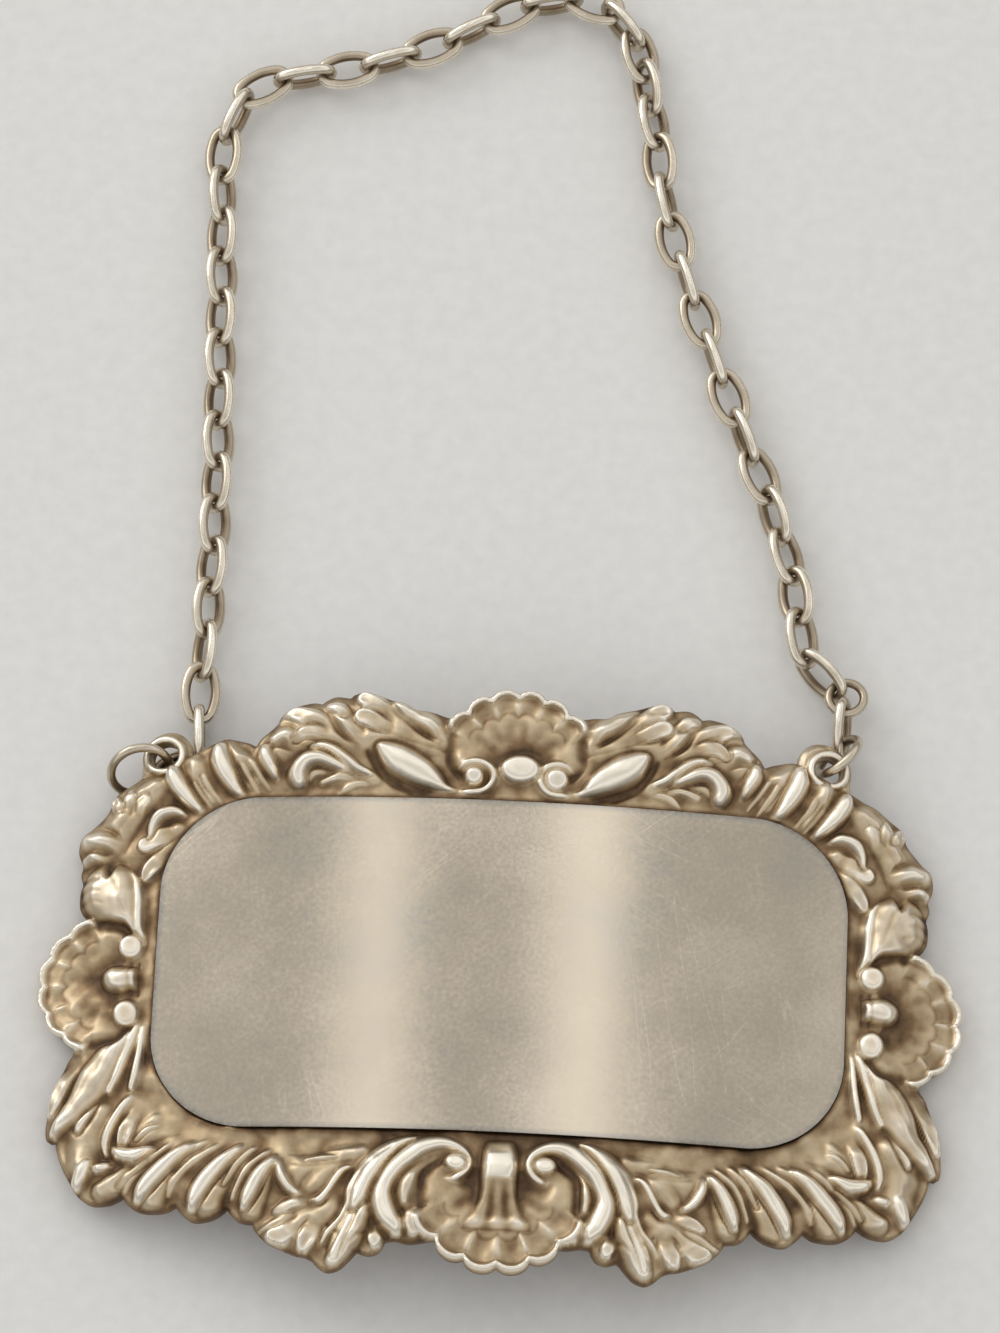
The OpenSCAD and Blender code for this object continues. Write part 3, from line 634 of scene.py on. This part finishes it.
def lay_tongue(lattice):
    """A tongue of metal that bends over, with a painted highlight on its bend and painted shade below it, and
    runs out in flutes over the shell.
    """
    ys, halves, heights, shines = np.array(TONGUE[::-1]).T
    window = lattice.window(np.array([[TONGUE_X, ys[0]], [TONGUE_X, ys[-1]]]), TONGUE_SPARE)
    y = lattice.y[window]
    half = np.interp(y, ys, halves)
    share = (lattice.x[window] - TONGUE_X) / half
    outside = np.maximum((np.abs(share) - 1) * half, np.maximum(ys[0] - y, y - ys[-1]))
    lattice.cut_ditch(window, np.maximum(outside, 0), width=0.2, depth=0.12)
    fluted = np.cos(3 * np.pi * share) * ease((TONGUE_FLUTES - y) / 1.5)
    side = np.clip(1 - np.abs(share) ** 4, 0, 1) ** 0.6
    z = lattice.base[window] + np.interp(y, ys, heights) * (0.4 + 0.6 * side) + 0.08 * fluted
    # Painted shade on its sides above the bend and in the flutes' troughs, lighter on the flutes' crests
    facet_shade = np.where(y > TONGUE_BEND, 1 - 0.45 * ease((np.abs(share) - 0.5) / 0.2), 1)
    lattice.lay(window, lattice.cover(outside), z, np.interp(y, ys, shines) * facet_shade + 0.12 * fluted)


def edge_distance(lattice, closed, reach=1.6):
    """Signed distance from a closed outline, negative inside, exact within reach of it."""
    distance = np.full(lattice.x.shape, reach)
    odd = np.zeros(lattice.x.shape, bool)
    for a, b in zip(closed, np.roll(closed, -1, axis=0)):
        dx, dy = b - a
        if dx == 0 and dy == 0:
            continue
        window = lattice.window(np.array([a, b]), reach)
        px, py = lattice.x[window] - a[0], lattice.y[window] - a[1]
        t = np.clip((px * dx + py * dy) / (dx * dx + dy * dy), 0, 1)
        distance[window] = np.minimum(distance[window], np.hypot(px - t * dx, py - t * dy))
        rows = (lattice.ys >= min(a[1], b[1])) & (lattice.ys < max(a[1], b[1]))
        crossing = a[0] + (lattice.ys[rows] - a[1]) * dx / (dy or 1)
        odd[rows] ^= lattice.xs[None, :] < crossing[:, None]
    return np.where(odd, -distance, distance)


def panel_distance(x, y):
    """Signed distance from the panel's edge, negative on the panel."""
    qx = np.abs(x) - (PANEL_W / 2 - PANEL_CORNER)
    qy = np.abs(y - PANEL_RISE) - (PANEL_H / 2 - PANEL_CORNER)
    return np.hypot(np.maximum(qx, 0), np.maximum(qy, 0)) + np.minimum(np.maximum(qx, qy), 0) - PANEL_CORNER


# From a lattice to a bowed, closed piece


def bent(x, y, height):
    """Where a point of the layout lies on the bow, in metres."""
    out = BOW_R + height
    return np.stack([out * x / BOW_R, y, out * np.sqrt(1 - (x / BOW_R) ** 2) - BOW_DROP], axis=-1) * MM


def onto_edge(lattice, outside, places, pairs):
    """Moves the rim's points onto the edge, evenly spaced along it."""
    slope_y, slope_x = np.gradient(outside, lattice.step)
    rim = np.unique(pairs)
    for settle in range(6):
        if settle:
            total = np.zeros_like(places)
            count = np.zeros(len(places))
            for a, b in (pairs.T, pairs.T[::-1]):
                np.add.at(total, a, places[b])
                np.add.at(count, a, 1)
            places[rim] += 0.5 * (total[rim] / count[rim][:, None] - places[rim])
        for _ in range(2):
            x, y = places[rim].T
            gx = lattice.sample(slope_x, x, y)
            gy = lattice.sample(slope_y, x, y)
            move = lattice.sample(outside, x, y) / np.maximum(gx * gx + gy * gy, 0.2)
            places[rim] -= np.stack([move * gx, move * gy], axis=-1)


def relief_piece(name, lattice, outside, finish, sharp_rim=False):
    """A closed piece whose face is the lattice's heights inside the edge, on a plain bowed back."""
    bm = bmesh.new()
    xs, ys = lattice.xs, lattice.ys
    middle = Matrix.Translation(((xs[0] + xs[-1]) / 2, (ys[0] + ys[-1]) / 2, 0))
    spread = Matrix.Diagonal((xs[-1] - xs[0], ys[-1] - ys[0], 1, 1))
    bmesh.ops.create_grid(
        bm, x_segments=len(xs) - 1, y_segments=len(ys) - 1, size=0.5, matrix=middle @ spread
    )
    places = np.array([v.co[:2] for v in bm.verts])
    gone = lattice.sample(outside, *places.T) > -0.2 * lattice.step
    bmesh.ops.delete(bm, geom=[v for v, out in zip(bm.verts, gone) if out], context="VERTS")
    bmesh.ops.delete(bm, geom=[e for e in bm.edges if not e.link_faces], context="EDGES")
    bmesh.ops.delete(bm, geom=[v for v in bm.verts if not v.link_faces], context="VERTS")
    bm.verts.index_update()
    places = np.array([v.co[:2] for v in bm.verts])
    rim_edges = [e for e in bm.edges if e.is_boundary]
    onto_edge(lattice, outside, places, np.array([[v.index for v in e.verts] for e in rim_edges]))
    x, y = places.T
    shine = bm.verts.layers.float.new("shine")
    tones = lattice.sample(lattice.shine, x, y)
    for v, place, tone in zip(bm.verts, bent(x, y, lattice.sample(lattice.z, x, y)), tones):
        v.co = place
        v[shine] = tone
    wall = bmesh.ops.extrude_edge_only(bm, edges=rim_edges)["geom"]
    axis_z = -BOW_DROP * MM
    for v in wall:
        if isinstance(v, bmesh.types.BMVert):
            spoke = Vector((v.co.x, 0, v.co.z - axis_z))
            foot = spoke.normalized() * BOW_R * MM
            v.co = (foot.x, v.co.y, foot.z + axis_z)
            # The wall is painted in shade
            v[shine] = WALL_SHADE
    back_edges = [e for e in wall if isinstance(e, bmesh.types.BMEdge) and e.is_boundary]
    bmesh.ops.triangle_fill(bm, edges=back_edges, use_beauty=True, use_dissolve=False)
    bmesh.ops.recalc_face_normals(bm, faces=bm.faces)
    for face in bm.faces:
        face.smooth = True
    for edge in back_edges + (rim_edges if sharp_rim else []):
        edge.smooth = False
    return new_object(name, bm, finish)


def new_object(name, bm, finish):
    mesh = bpy.data.meshes.new(name)
    bm.to_mesh(mesh)
    bm.free()
    mesh.materials.append(finish)
    piece = bpy.data.objects.new(name, mesh)
    bpy.context.scene.collection.objects.link(piece)
    return piece


# Shader maths written as expressions


class Value:
    """A shader socket. Sums and products of values add their own Math nodes."""

    def __init__(self, finish, socket):
        self.finish = finish
        self.socket = socket

    def math(self, operation, *values):
        inputs = {i: value for i, value in enumerate(values)}
        return self.finish.node("ShaderNodeMath", {"operation": operation, "use_clamp": False}, inputs)

    def __add__(self, other):
        return self.math("ADD", self, other)

    def __radd__(self, other):
        return self.math("ADD", other, self)

    def __sub__(self, other):
        return self.math("SUBTRACT", self, other)

    def __rsub__(self, other):
        return self.math("SUBTRACT", other, self)

    def __mul__(self, other):
        return self.math("MULTIPLY", self, other)

    def __rmul__(self, other):
        return self.math("MULTIPLY", other, self)

    def size(self):
        return self.math("ABSOLUTE", self)

    def clamped(self):
        return self.math("MAXIMUM", self.math("MINIMUM", self, 1), 0)


def set_stops(ramp, stops):
    while len(ramp.elements) < len(stops):
        ramp.elements.new(1)
    for element, (place, colour) in zip(ramp.elements, stops):
        element.position = place
        element.color = (*colour, 1)


class Finish:
    """The shader of a material, or of the studio round the object, under construction."""

    def __init__(self, owner, shader="Principled BSDF"):
        owner.use_nodes = True
        self.owner = owner
        self.tree = owner.node_tree
        self.shader = self.tree.nodes[shader]

    def node(self, kind, settings, inputs, output=0):
        made = self.tree.nodes.new(kind)
        for key, value in settings.items():
            if key == "stops":
                set_stops(made.color_ramp, value)
            else:
                setattr(made, key, value)
        for key, value in inputs.items():
            self.feed(made.inputs[key], value)
        return Value(self, made.outputs[output])

    def feed(self, socket, value):
        if isinstance(value, Value):
            self.tree.links.new(value.socket, socket)
        else:
            socket.default_value = value

    def set(self, **sockets):
        for key, value in sockets.items():
            self.feed(self.shader.inputs[key.replace("_", " ")], value)

    def attribute(self, name):
        return self.node("ShaderNodeAttribute", {"attribute_name": name}, {}, "Fac")

    def place(self):
        return self.node("ShaderNodeTexCoord", {}, {}, "Object")

    def noise(self, per_metre, detail=3, roughness=0.55, stretch=None, turn=0):
        vector = self.place()
        if turn:
            vector = self.node("ShaderNodeMapping", {}, {"Vector": vector, "Rotation": (0, 0, turn)})
        if stretch:
            vector = self.node("ShaderNodeMapping", {}, {"Vector": vector, "Scale": stretch})
        inputs = {"Vector": vector, "Scale": per_metre, "Detail": detail, "Roughness": roughness}
        return self.node("ShaderNodeTexNoise", {}, inputs)

    def ramp(self, value, stops):
        return self.node("ShaderNodeValToRGB", {"stops": stops}, {"Fac": value})

    def bump(self, height, strength, distance):
        inputs = {"Height": height, "Strength": strength, "Distance": distance}
        return self.node("ShaderNodeBump", {}, inputs)


def linear(red, green, blue):
    """A colour given as it looks on screen, 0 to 255, as shader values."""
    return tuple(((c / 255 + 0.055) / 1.055) ** 2.4 if c > 10 else c / 3295 for c in (red, green, blue))


# Colours of silver and floor, the lists from dark to bright; the darkest stands for grime and painted shade
# alike
GRIME_AND_SHADE = linear(78, 58, 39)
BROWN = linear(130, 104, 74)
TARNISH = linear(192, 171, 138)
SILVER = linear(218, 203, 179)
BRIGHT = linear(249, 240, 223)
SATIN = [linear(176, 171, 161), linear(198, 186, 167), linear(218, 206, 187)]
WIRE = [linear(124, 106, 84), linear(188, 174, 152), linear(216, 205, 186)]
FLOOR = [linear(222, 220, 216), linear(228, 226, 222)]

# Scratches on the panel: slant in radians, and patches to the metre
SCRATCHES = [(0.5, 90), (-0.7, 120), (1.4, 70)]


def cast_silver():
    """Old cast silver, dark brown in its hollows with patina and painted shade, tan on its flats and worn
    bright where it stands proud.
    """
    finish = Finish(bpy.data.materials.new("cast_silver"))
    mottle = finish.noise(per_metre=420, detail=4)
    grain = finish.noise(per_metre=2600, detail=3)
    tone = (finish.attribute("shine") + (mottle - 0.5) * 0.36 + (grain - 0.5) * 0.16).clamped()
    stops = [(0.0, GRIME_AND_SHADE), (0.18, BROWN), (0.45, TARNISH), (0.72, SILVER), (0.95, BRIGHT)]
    colour = finish.ramp(tone, stops)
    rough = 0.48 - 0.13 * tone + (grain - 0.5) * 0.12
    metal = (0.6 + 0.8 * tone).clamped()
    normal = finish.bump(grain + mottle * 0.6, strength=0.25, distance=0.00004)
    finish.set(Base_Color=colour, Roughness=rough, Metallic=metal, Normal=normal)
    return finish.owner


def scratches(finish, turn, spots):
    """Hairlines at one slant, in patches."""
    along = finish.noise(per_metre=45, detail=1, roughness=0.4, stretch=(1, 14, 1), turn=turn)
    line = (1 - (along - 0.5).size() * 110).clamped()
    patch = ((finish.noise(per_metre=spots, detail=1, roughness=0.4, turn=turn) - 0.57) * 9).clamped()
    return line * patch


def panel_silver():
    """Rolled silver sheet, satin with hairline scratches and a thin warm tarnish."""
    finish = Finish(bpy.data.materials.new("panel_silver"))
    mottle = finish.noise(per_metre=150, detail=4)
    grain = finish.noise(per_metre=3800, detail=2)
    hairs = sum(scratches(finish, turn, spots) for turn, spots in SCRATCHES)
    shine = finish.attribute("shine")
    tone = (shine + (mottle - 0.5) * 0.5 + (grain - 0.5) * 0.26 + hairs * 0.09).clamped()
    stops = [(0.0, GRIME_AND_SHADE), (0.25, BROWN), (0.5, SATIN[0]), (0.7, SATIN[1]), (0.9, SATIN[2])]
    colour = finish.ramp(tone, stops)
    rough = 0.21 + (mottle - 0.5) * 0.1 + (grain - 0.5) * 0.1 + hairs * 0.05
    normal = finish.bump(grain * 0.4 + mottle - hairs * 0.2, strength=0.1, distance=0.00003)
    finish.set(Base_Color=colour, Roughness=rough, Metallic=0.96, Normal=normal)
    return finish.owner


def chain_silver():
    """Drawn silver wire, grey on the outside of its links and brown inside their bows."""
    finish = Finish(bpy.data.materials.new("chain_silver"))
    mottle = finish.noise(per_metre=700, detail=4)
    grain = finish.noise(per_metre=3200, detail=2)
    tone = (finish.attribute("shine") + (mottle - 0.5) * 0.3).clamped()
    stops = [(0.0, GRIME_AND_SHADE), (0.3, WIRE[0]), (0.6, WIRE[1]), (0.85, WIRE[2]), (1.0, BRIGHT)]
    colour = finish.ramp(tone, stops)
    rough = 0.36 - 0.1 * tone + (grain - 0.5) * 0.12
    normal = finish.bump(grain, strength=0.2, distance=0.00003)
    finish.set(Base_Color=colour, Roughness=rough, Metallic=0.95, Normal=normal)
    return finish.owner


# Pieces


def border_heights(lattice, outside, inner):
    """Lays every motif on the ground, then the lip along the panel and the casting's unevenness."""
    lattice.base = GROUND + GROUND_SWELL * ease((inner - 0.6) / 2) - EDGE_FALL * ease(1 + outside / 1.2)
    lattice.z = lattice.base.copy()
    both_sides(lattice, TOP_LEAVES + TOP_GADROONS + TOP_CORNER)
    both_sides(lattice, BOTTOM_CORNER + BOTTOM_GADROONS + BOTTOM_LEAVES + SIDE_LEAVES)
    for shell in SHELLS:
        lay_shell(lattice, shell)
    lay_tongue(lattice)
    both_sides(lattice, SIDE_PLATE + [("lip", TOP_VOLUTE)] + OVER_SHELLS)
    for boss in BOSSES:
        lattice.dome(*boss)
    lip = ease(1 - inner / LIP_W)
    lattice.z += (LIP_H - lattice.z) * lip
    # The lip is painted darker below the panel, as painted shade under its edge
    shade_below_panel = ease((PANEL_FOOT + 0.8 - lattice.y) / 0.6)
    lattice.shine += (LIP_SHINE - 0.3 * shade_below_panel - lattice.shine) * lip
    dull = ease((0.75 - lattice.shine) / 0.3)
    lattice.z = 0.3 * lattice.z + 0.7 * blurred(lattice.z, 1)
    lattice.z += (0.025 + 0.045 * dull) * lattice.lumps(9) + (0.01 + 0.02 * dull) * lattice.lumps(4)


def border_outside(lattice):
    """How far each point lies outside the border's whole edge, and outside the shells alone."""
    right = np.vstack([smooth_run(run, 6)[:-1] for run in EDGE_RUNS])
    left = right[::-1] * (-1, 1)
    off_shells = np.min([fan_outside(lattice, shell) for shell in SHELLS], axis=0)
    return np.minimum(edge_distance(lattice, np.vstack([right, left])), off_shells), off_shells


def rub_and_shade(lattice):
    """Brightens what stands proud of the metal round it, as wear, and darkens what lies below it, as patina
    and painted shade.
    """
    lattice.shine = 0.4 * lattice.shine + 0.6 * blurred(lattice.shine, 1)
    fine = lattice.z - blurred(lattice.z, 2)
    broad = lattice.z - blurred(lattice.z, 8)
    lattice.shine = np.clip(lattice.shine + 1.2 * fine + np.where(broad > 0, 0.45, 0.7) * broad, 0.04, 1)


def make_border(finish):
    width, height = LABEL_W + BORDER_SPARE, LABEL_H + BORDER_SPARE
    lattice = Lattice((0, 0), width, height, BORDER_STEP, GROUND, GROUND_SHINE)
    outside, off_shells = border_outside(lattice)
    inner = panel_distance(lattice.x, lattice.y) - SOLDER_GAP
    border_heights(lattice, outside, inner)
    round_off = ease(1 + outside / 0.2) * (1 - 0.7 * ease(2 - np.abs(off_shells) / 0.3))
    lattice.z -= 0.3 * round_off * (lattice.z - 0.4)
    # The join along the panel is painted dark, as its solder line and as painted shade at the foot of the
    # panel's edge
    seam_and_shade = ease(1.25 - inner / 0.32)
    lattice.shine *= 1 - 0.8 * seam_and_shade
    rub_and_shade(lattice)
    return relief_piece("cast_border", lattice, np.maximum(outside, -inner), finish)


def make_panel(finish):
    width, height = PANEL_W + PANEL_SPARE, PANEL_H + PANEL_SPARE
    lattice = Lattice((0, PANEL_RISE), width, height, PANEL_STEP, PANEL_T, PANEL_SHINE)
    outside = panel_distance(lattice.x, lattice.y)
    lattice.z += 0.025 * lattice.lumps(40)
    lattice.shine -= 0.3 * ease(1 + outside / 0.25) ** 2
    return relief_piece("name_panel", lattice, outside, finish, sharp_rim=True)


def make_lug(name, lug, finish):
    """A pierced ear with a raised collar round its hole, drawn out into the border below."""
    lattice = Lattice(lug.place, LUG_LATTICE, LUG_LATTICE, LUG_STEP, LUG_T, LUG_SHINE)
    across, up = lattice.x - lug.place[0], lattice.y - lug.place[1]
    radius = np.hypot(across, up)
    turn = (np.degrees(np.arctan2(up, across)) - lug.fullest + 180) % 360 - 180
    ear = radius - LUG_R - lug.reach * bell(turn, LUG_SPREAD)
    neck = np.maximum(np.abs(across) - LUG_NECK_HALF_W, np.abs(up + LUG_NECK_DROP / 2) - LUG_NECK_DROP / 2)
    outside = np.minimum(ear, neck)
    collar = np.sqrt(np.clip(1 - ((radius - COLLAR_R) / COLLAR_WIRE_R) ** 2, 0, 1))
    lattice.z += 0.2 * ease(-up / 1.5) - 0.3 * ease(1 + outside / 0.4)
    lattice.z += COLLAR_RISE * collar
    # The collar is laid lighter, and a ring of painted shade runs round its foot
    lattice.shine += 0.4 * collar - 0.22 * bell(radius - COLLAR_R - 0.33, 0.1)
    return relief_piece(name, lattice, np.maximum(outside, LUG_HOLE_R - radius), finish)


def wire_circle(bm, radius, place):
    """A round section of wire standing across the way it will be spun."""
    upright = Matrix.Translation(place) @ Matrix.Rotation(math.pi / 2, 4, "X")
    made = bmesh.ops.create_circle(bm, segments=WIRE_SIDES, radius=radius, matrix=upright)
    return made["verts"] + list({e for v in made["verts"] for e in v.link_edges})


def oval_link():
    """An oval of round wire in four arcs, in millimetres, browner inside its bows."""
    bm = bmesh.new()
    section = wire_circle(bm, LINK_WIRE_R, (LINK_REACH, 0, 0))
    side_sweep = math.pi - 2 * LINK_BOW_HALF
    bow_at = LINK_REACH - LINK_BOW
    side_at = LINK_HALF_W - LINK_SIDE_R
    arcs = [
        ((bow_at, 0, 0), LINK_BOW_HALF, BOW_STEPS),
        ((0, side_at, 0), side_sweep, SIDE_STEPS),
        ((-bow_at, 0, 0), 2 * LINK_BOW_HALF, 2 * BOW_STEPS),
        ((0, -side_at, 0), side_sweep, SIDE_STEPS),
        ((bow_at, 0, 0), LINK_BOW_HALF, BOW_STEPS),
    ]
    for centre, sweep, steps in arcs:
        made = bmesh.ops.spin(bm, geom=section, cent=centre, axis=(0, 0, 1), angle=sweep, steps=steps)
        section = made["geom_last"]
    bmesh.ops.remove_doubles(bm, verts=bm.verts, dist=0.001)
    shine = bm.verts.layers.float.new("shine")
    for v in bm.verts:
        outward = math.hypot(v.co.x / (LINK_REACH - 0.1), v.co.y / (LINK_HALF_W - 0.05)) - 1
        v[shine] = min(1, max(0.1, WIRE_SHINE + outward))
    return bm


def round_ring(mid_radius):
    """A ring of round wire, in millimetres, browner on its inside."""
    bm = bmesh.new()
    section = wire_circle(bm, RING_WIRE_R, (mid_radius, 0, 0))
    bmesh.ops.spin(bm, geom=section, axis=(0, 0, 1), angle=2 * math.pi, steps=RING_STEPS, use_merge=True)
    shine = bm.verts.layers.float.new("shine")
    for v in bm.verts:
        outward = math.hypot(v.co.x, v.co.y) - mid_radius
        v[shine] = min(1, max(0.2, WIRE_SHINE + 0.8 * outward))
    return bm


def node_axes(name):
    """A node's corners, and the axes that its surface spreads along, least first."""
    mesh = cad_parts[name].data
    corners = np.array([v.co for v in mesh.vertices])
    middles = np.array([p.center for p in mesh.polygons])
    areas = np.array([p.area for p in mesh.polygons])
    mean = (middles * areas[:, None]).sum(0) / areas.sum()
    spread = ((middles - mean) * areas[:, None]).T @ (middles - mean)
    return corners, np.linalg.eigh(spread)[1].T


def node_middle(name):
    low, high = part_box(name)
    return np.array((low + high) / 2)


def node_place(name):
    """The matrix that stands a link or ring, drawn flat at the origin, where its node is. The open link's
    node is only the half away from the link before it, so it is wider than it is long."""
    half_link = name == f"link_{OPEN_LINK}"
    corners, (facing, second, length) = node_axes(name)
    if half_link:
        ahead = node_middle(f"link_{OPEN_LINK - 1}") - node_middle(name)
        length = second if second @ ahead > 0 else -second
    axes = np.stack([length, np.cross(facing, length), facing])
    spans = corners @ axes.T
    middle = (spans.min(0) + spans.max(0)) / 2
    if half_link:
        middle[0] = spans[:, 0].min() + (LINK_REACH + LINK_WIRE_R) * MM
    place = Matrix.Identity(4)
    for row in range(3):
        place[row][:3] = axes[:, row]
        place[row][3] = (middle @ axes)[row]
    return place @ Matrix.Scale(MM, 4)


def hang(piece, node, body):
    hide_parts(node)
    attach(piece, body)


def hang_wire(kind, name, bm, finish):
    """Stands a link or ring where its node is, on the body of its own name."""
    bmesh.ops.recalc_face_normals(bm, faces=bm.faces)
    bmesh.ops.transform(bm, matrix=node_place(name), verts=bm.verts)
    for face in bm.faces:
        face.smooth = True
    hang(new_object(f"{kind}_{name}", bm, finish), name, name)


def make_chain(finish):
    for i in range(1, LINKS + 1):
        hang_wire("oval", f"link_{i:02d}", oval_link(), finish)
    for name, mid_radius in RING_MID_R.items():
        hang_wire("wire", name, round_ring(mid_radius), finish)


def make_label():
    cast = cast_silver()
    hang(make_border(cast), "border", "label")
    hang(make_panel(panel_silver()), "panel", "label")
    for name, lug in LUGS.items():
        hang(make_lug(f"cast_{name}", lug, cast), name, "label")


# Stage, in metres but for the camera

FLOOR_SIZE = 1.5

# How bright the studio is by height, from level with the floor to straight overhead
SKY = [(0.0, 0.12), (0.2, 0.2), (0.45, 0.85), (0.66, 1.0), (0.83, 0.6), (1.0, 0.5)]
SKY_STRENGTH = 1.07

# Lamps: place, aim, width and length, power
LAMPS = {
    "left_strip": ((-0.113, 0.18, 0.5), (-0.113, 0.18, 0), (0.05, 0.4), 0.08),
    "right_strip": ((0.065, 0.18, 0.5), (0.065, 0.18, 0), (0.05, 0.4), 0.09),
    "key_box": ((-0.5, 0.46, 0.36), (0, 0.01, 0), (0.45, 0.45), 1.3),
}

# The camera, in millimetres, with its tilt in degrees
CAMERA_EYE = (5.16, -112.9, 375.9)
CAMERA_AIM = (-1.05, 23.81, 0)
CAMERA_TILT = 2.6
CAMERA_LENS = 161.3
CAMERA_SENSOR = 36


def make_floor():
    bm = bmesh.new()
    bmesh.ops.create_grid(bm, x_segments=1, y_segments=1, size=FLOOR_SIZE)
    finish = Finish(bpy.data.materials.new("pale_floor"))
    weave = finish.noise(per_metre=900, detail=3)
    finish.set(Base_Color=finish.ramp(weave, [(0.3, FLOOR[0]), (0.7, FLOOR[1])]), Roughness=0.9)
    new_object("floor", bm, finish.owner)


def make_lamp(name, place, aim, size, power):
    lamp = bpy.data.lights.new(name, "AREA")
    lamp.shape = "RECTANGLE"
    lamp.size, lamp.size_y = size
    lamp.energy = power
    holder = bpy.data.objects.new(name, lamp)
    holder.location = place
    holder.rotation_euler = (Vector(aim) - Vector(place)).to_track_quat("-Z", "Y").to_euler()
    bpy.context.scene.collection.objects.link(holder)


def make_light():
    world = bpy.data.worlds.new("soft_studio")
    bpy.context.scene.world = world
    studio = Finish(world, "Background")
    way = studio.node("ShaderNodeTexCoord", {}, {}, "Generated")
    height = studio.node("ShaderNodeSeparateXYZ", {}, {"Vector": way}, "Z")
    stops = [(up, (level, level, level)) for up, level in SKY]
    studio.set(Color=studio.ramp(height, stops), Strength=SKY_STRENGTH)
    for name, lamp in LAMPS.items():
        make_lamp(name, *lamp)


def make_camera():
    eye = Vector(CAMERA_EYE) * MM
    forward = (Vector(CAMERA_AIM) * MM - eye).normalized()
    tilt = math.radians(CAMERA_TILT)
    right = Vector((math.cos(tilt), math.sin(tilt), 0))
    right = (right - right.dot(forward) * forward).normalized()
    up = right.cross(forward)
    data = bpy.data.cameras.new("photo_camera")
    data.lens = CAMERA_LENS
    data.sensor_width = CAMERA_SENSOR
    data.clip_start = 0.01
    camera = bpy.data.objects.new("photo_camera", data)
    camera.matrix_world = Matrix.Translation(eye) @ Matrix((right, up, -forward)).transposed().to_4x4()
    bpy.context.scene.collection.objects.link(camera)
    bpy.context.scene.camera = camera


make_camera()
make_label()
make_chain(chain_silver())
make_floor()
make_light()
bpy.context.scene.view_settings.view_transform = "Standard"
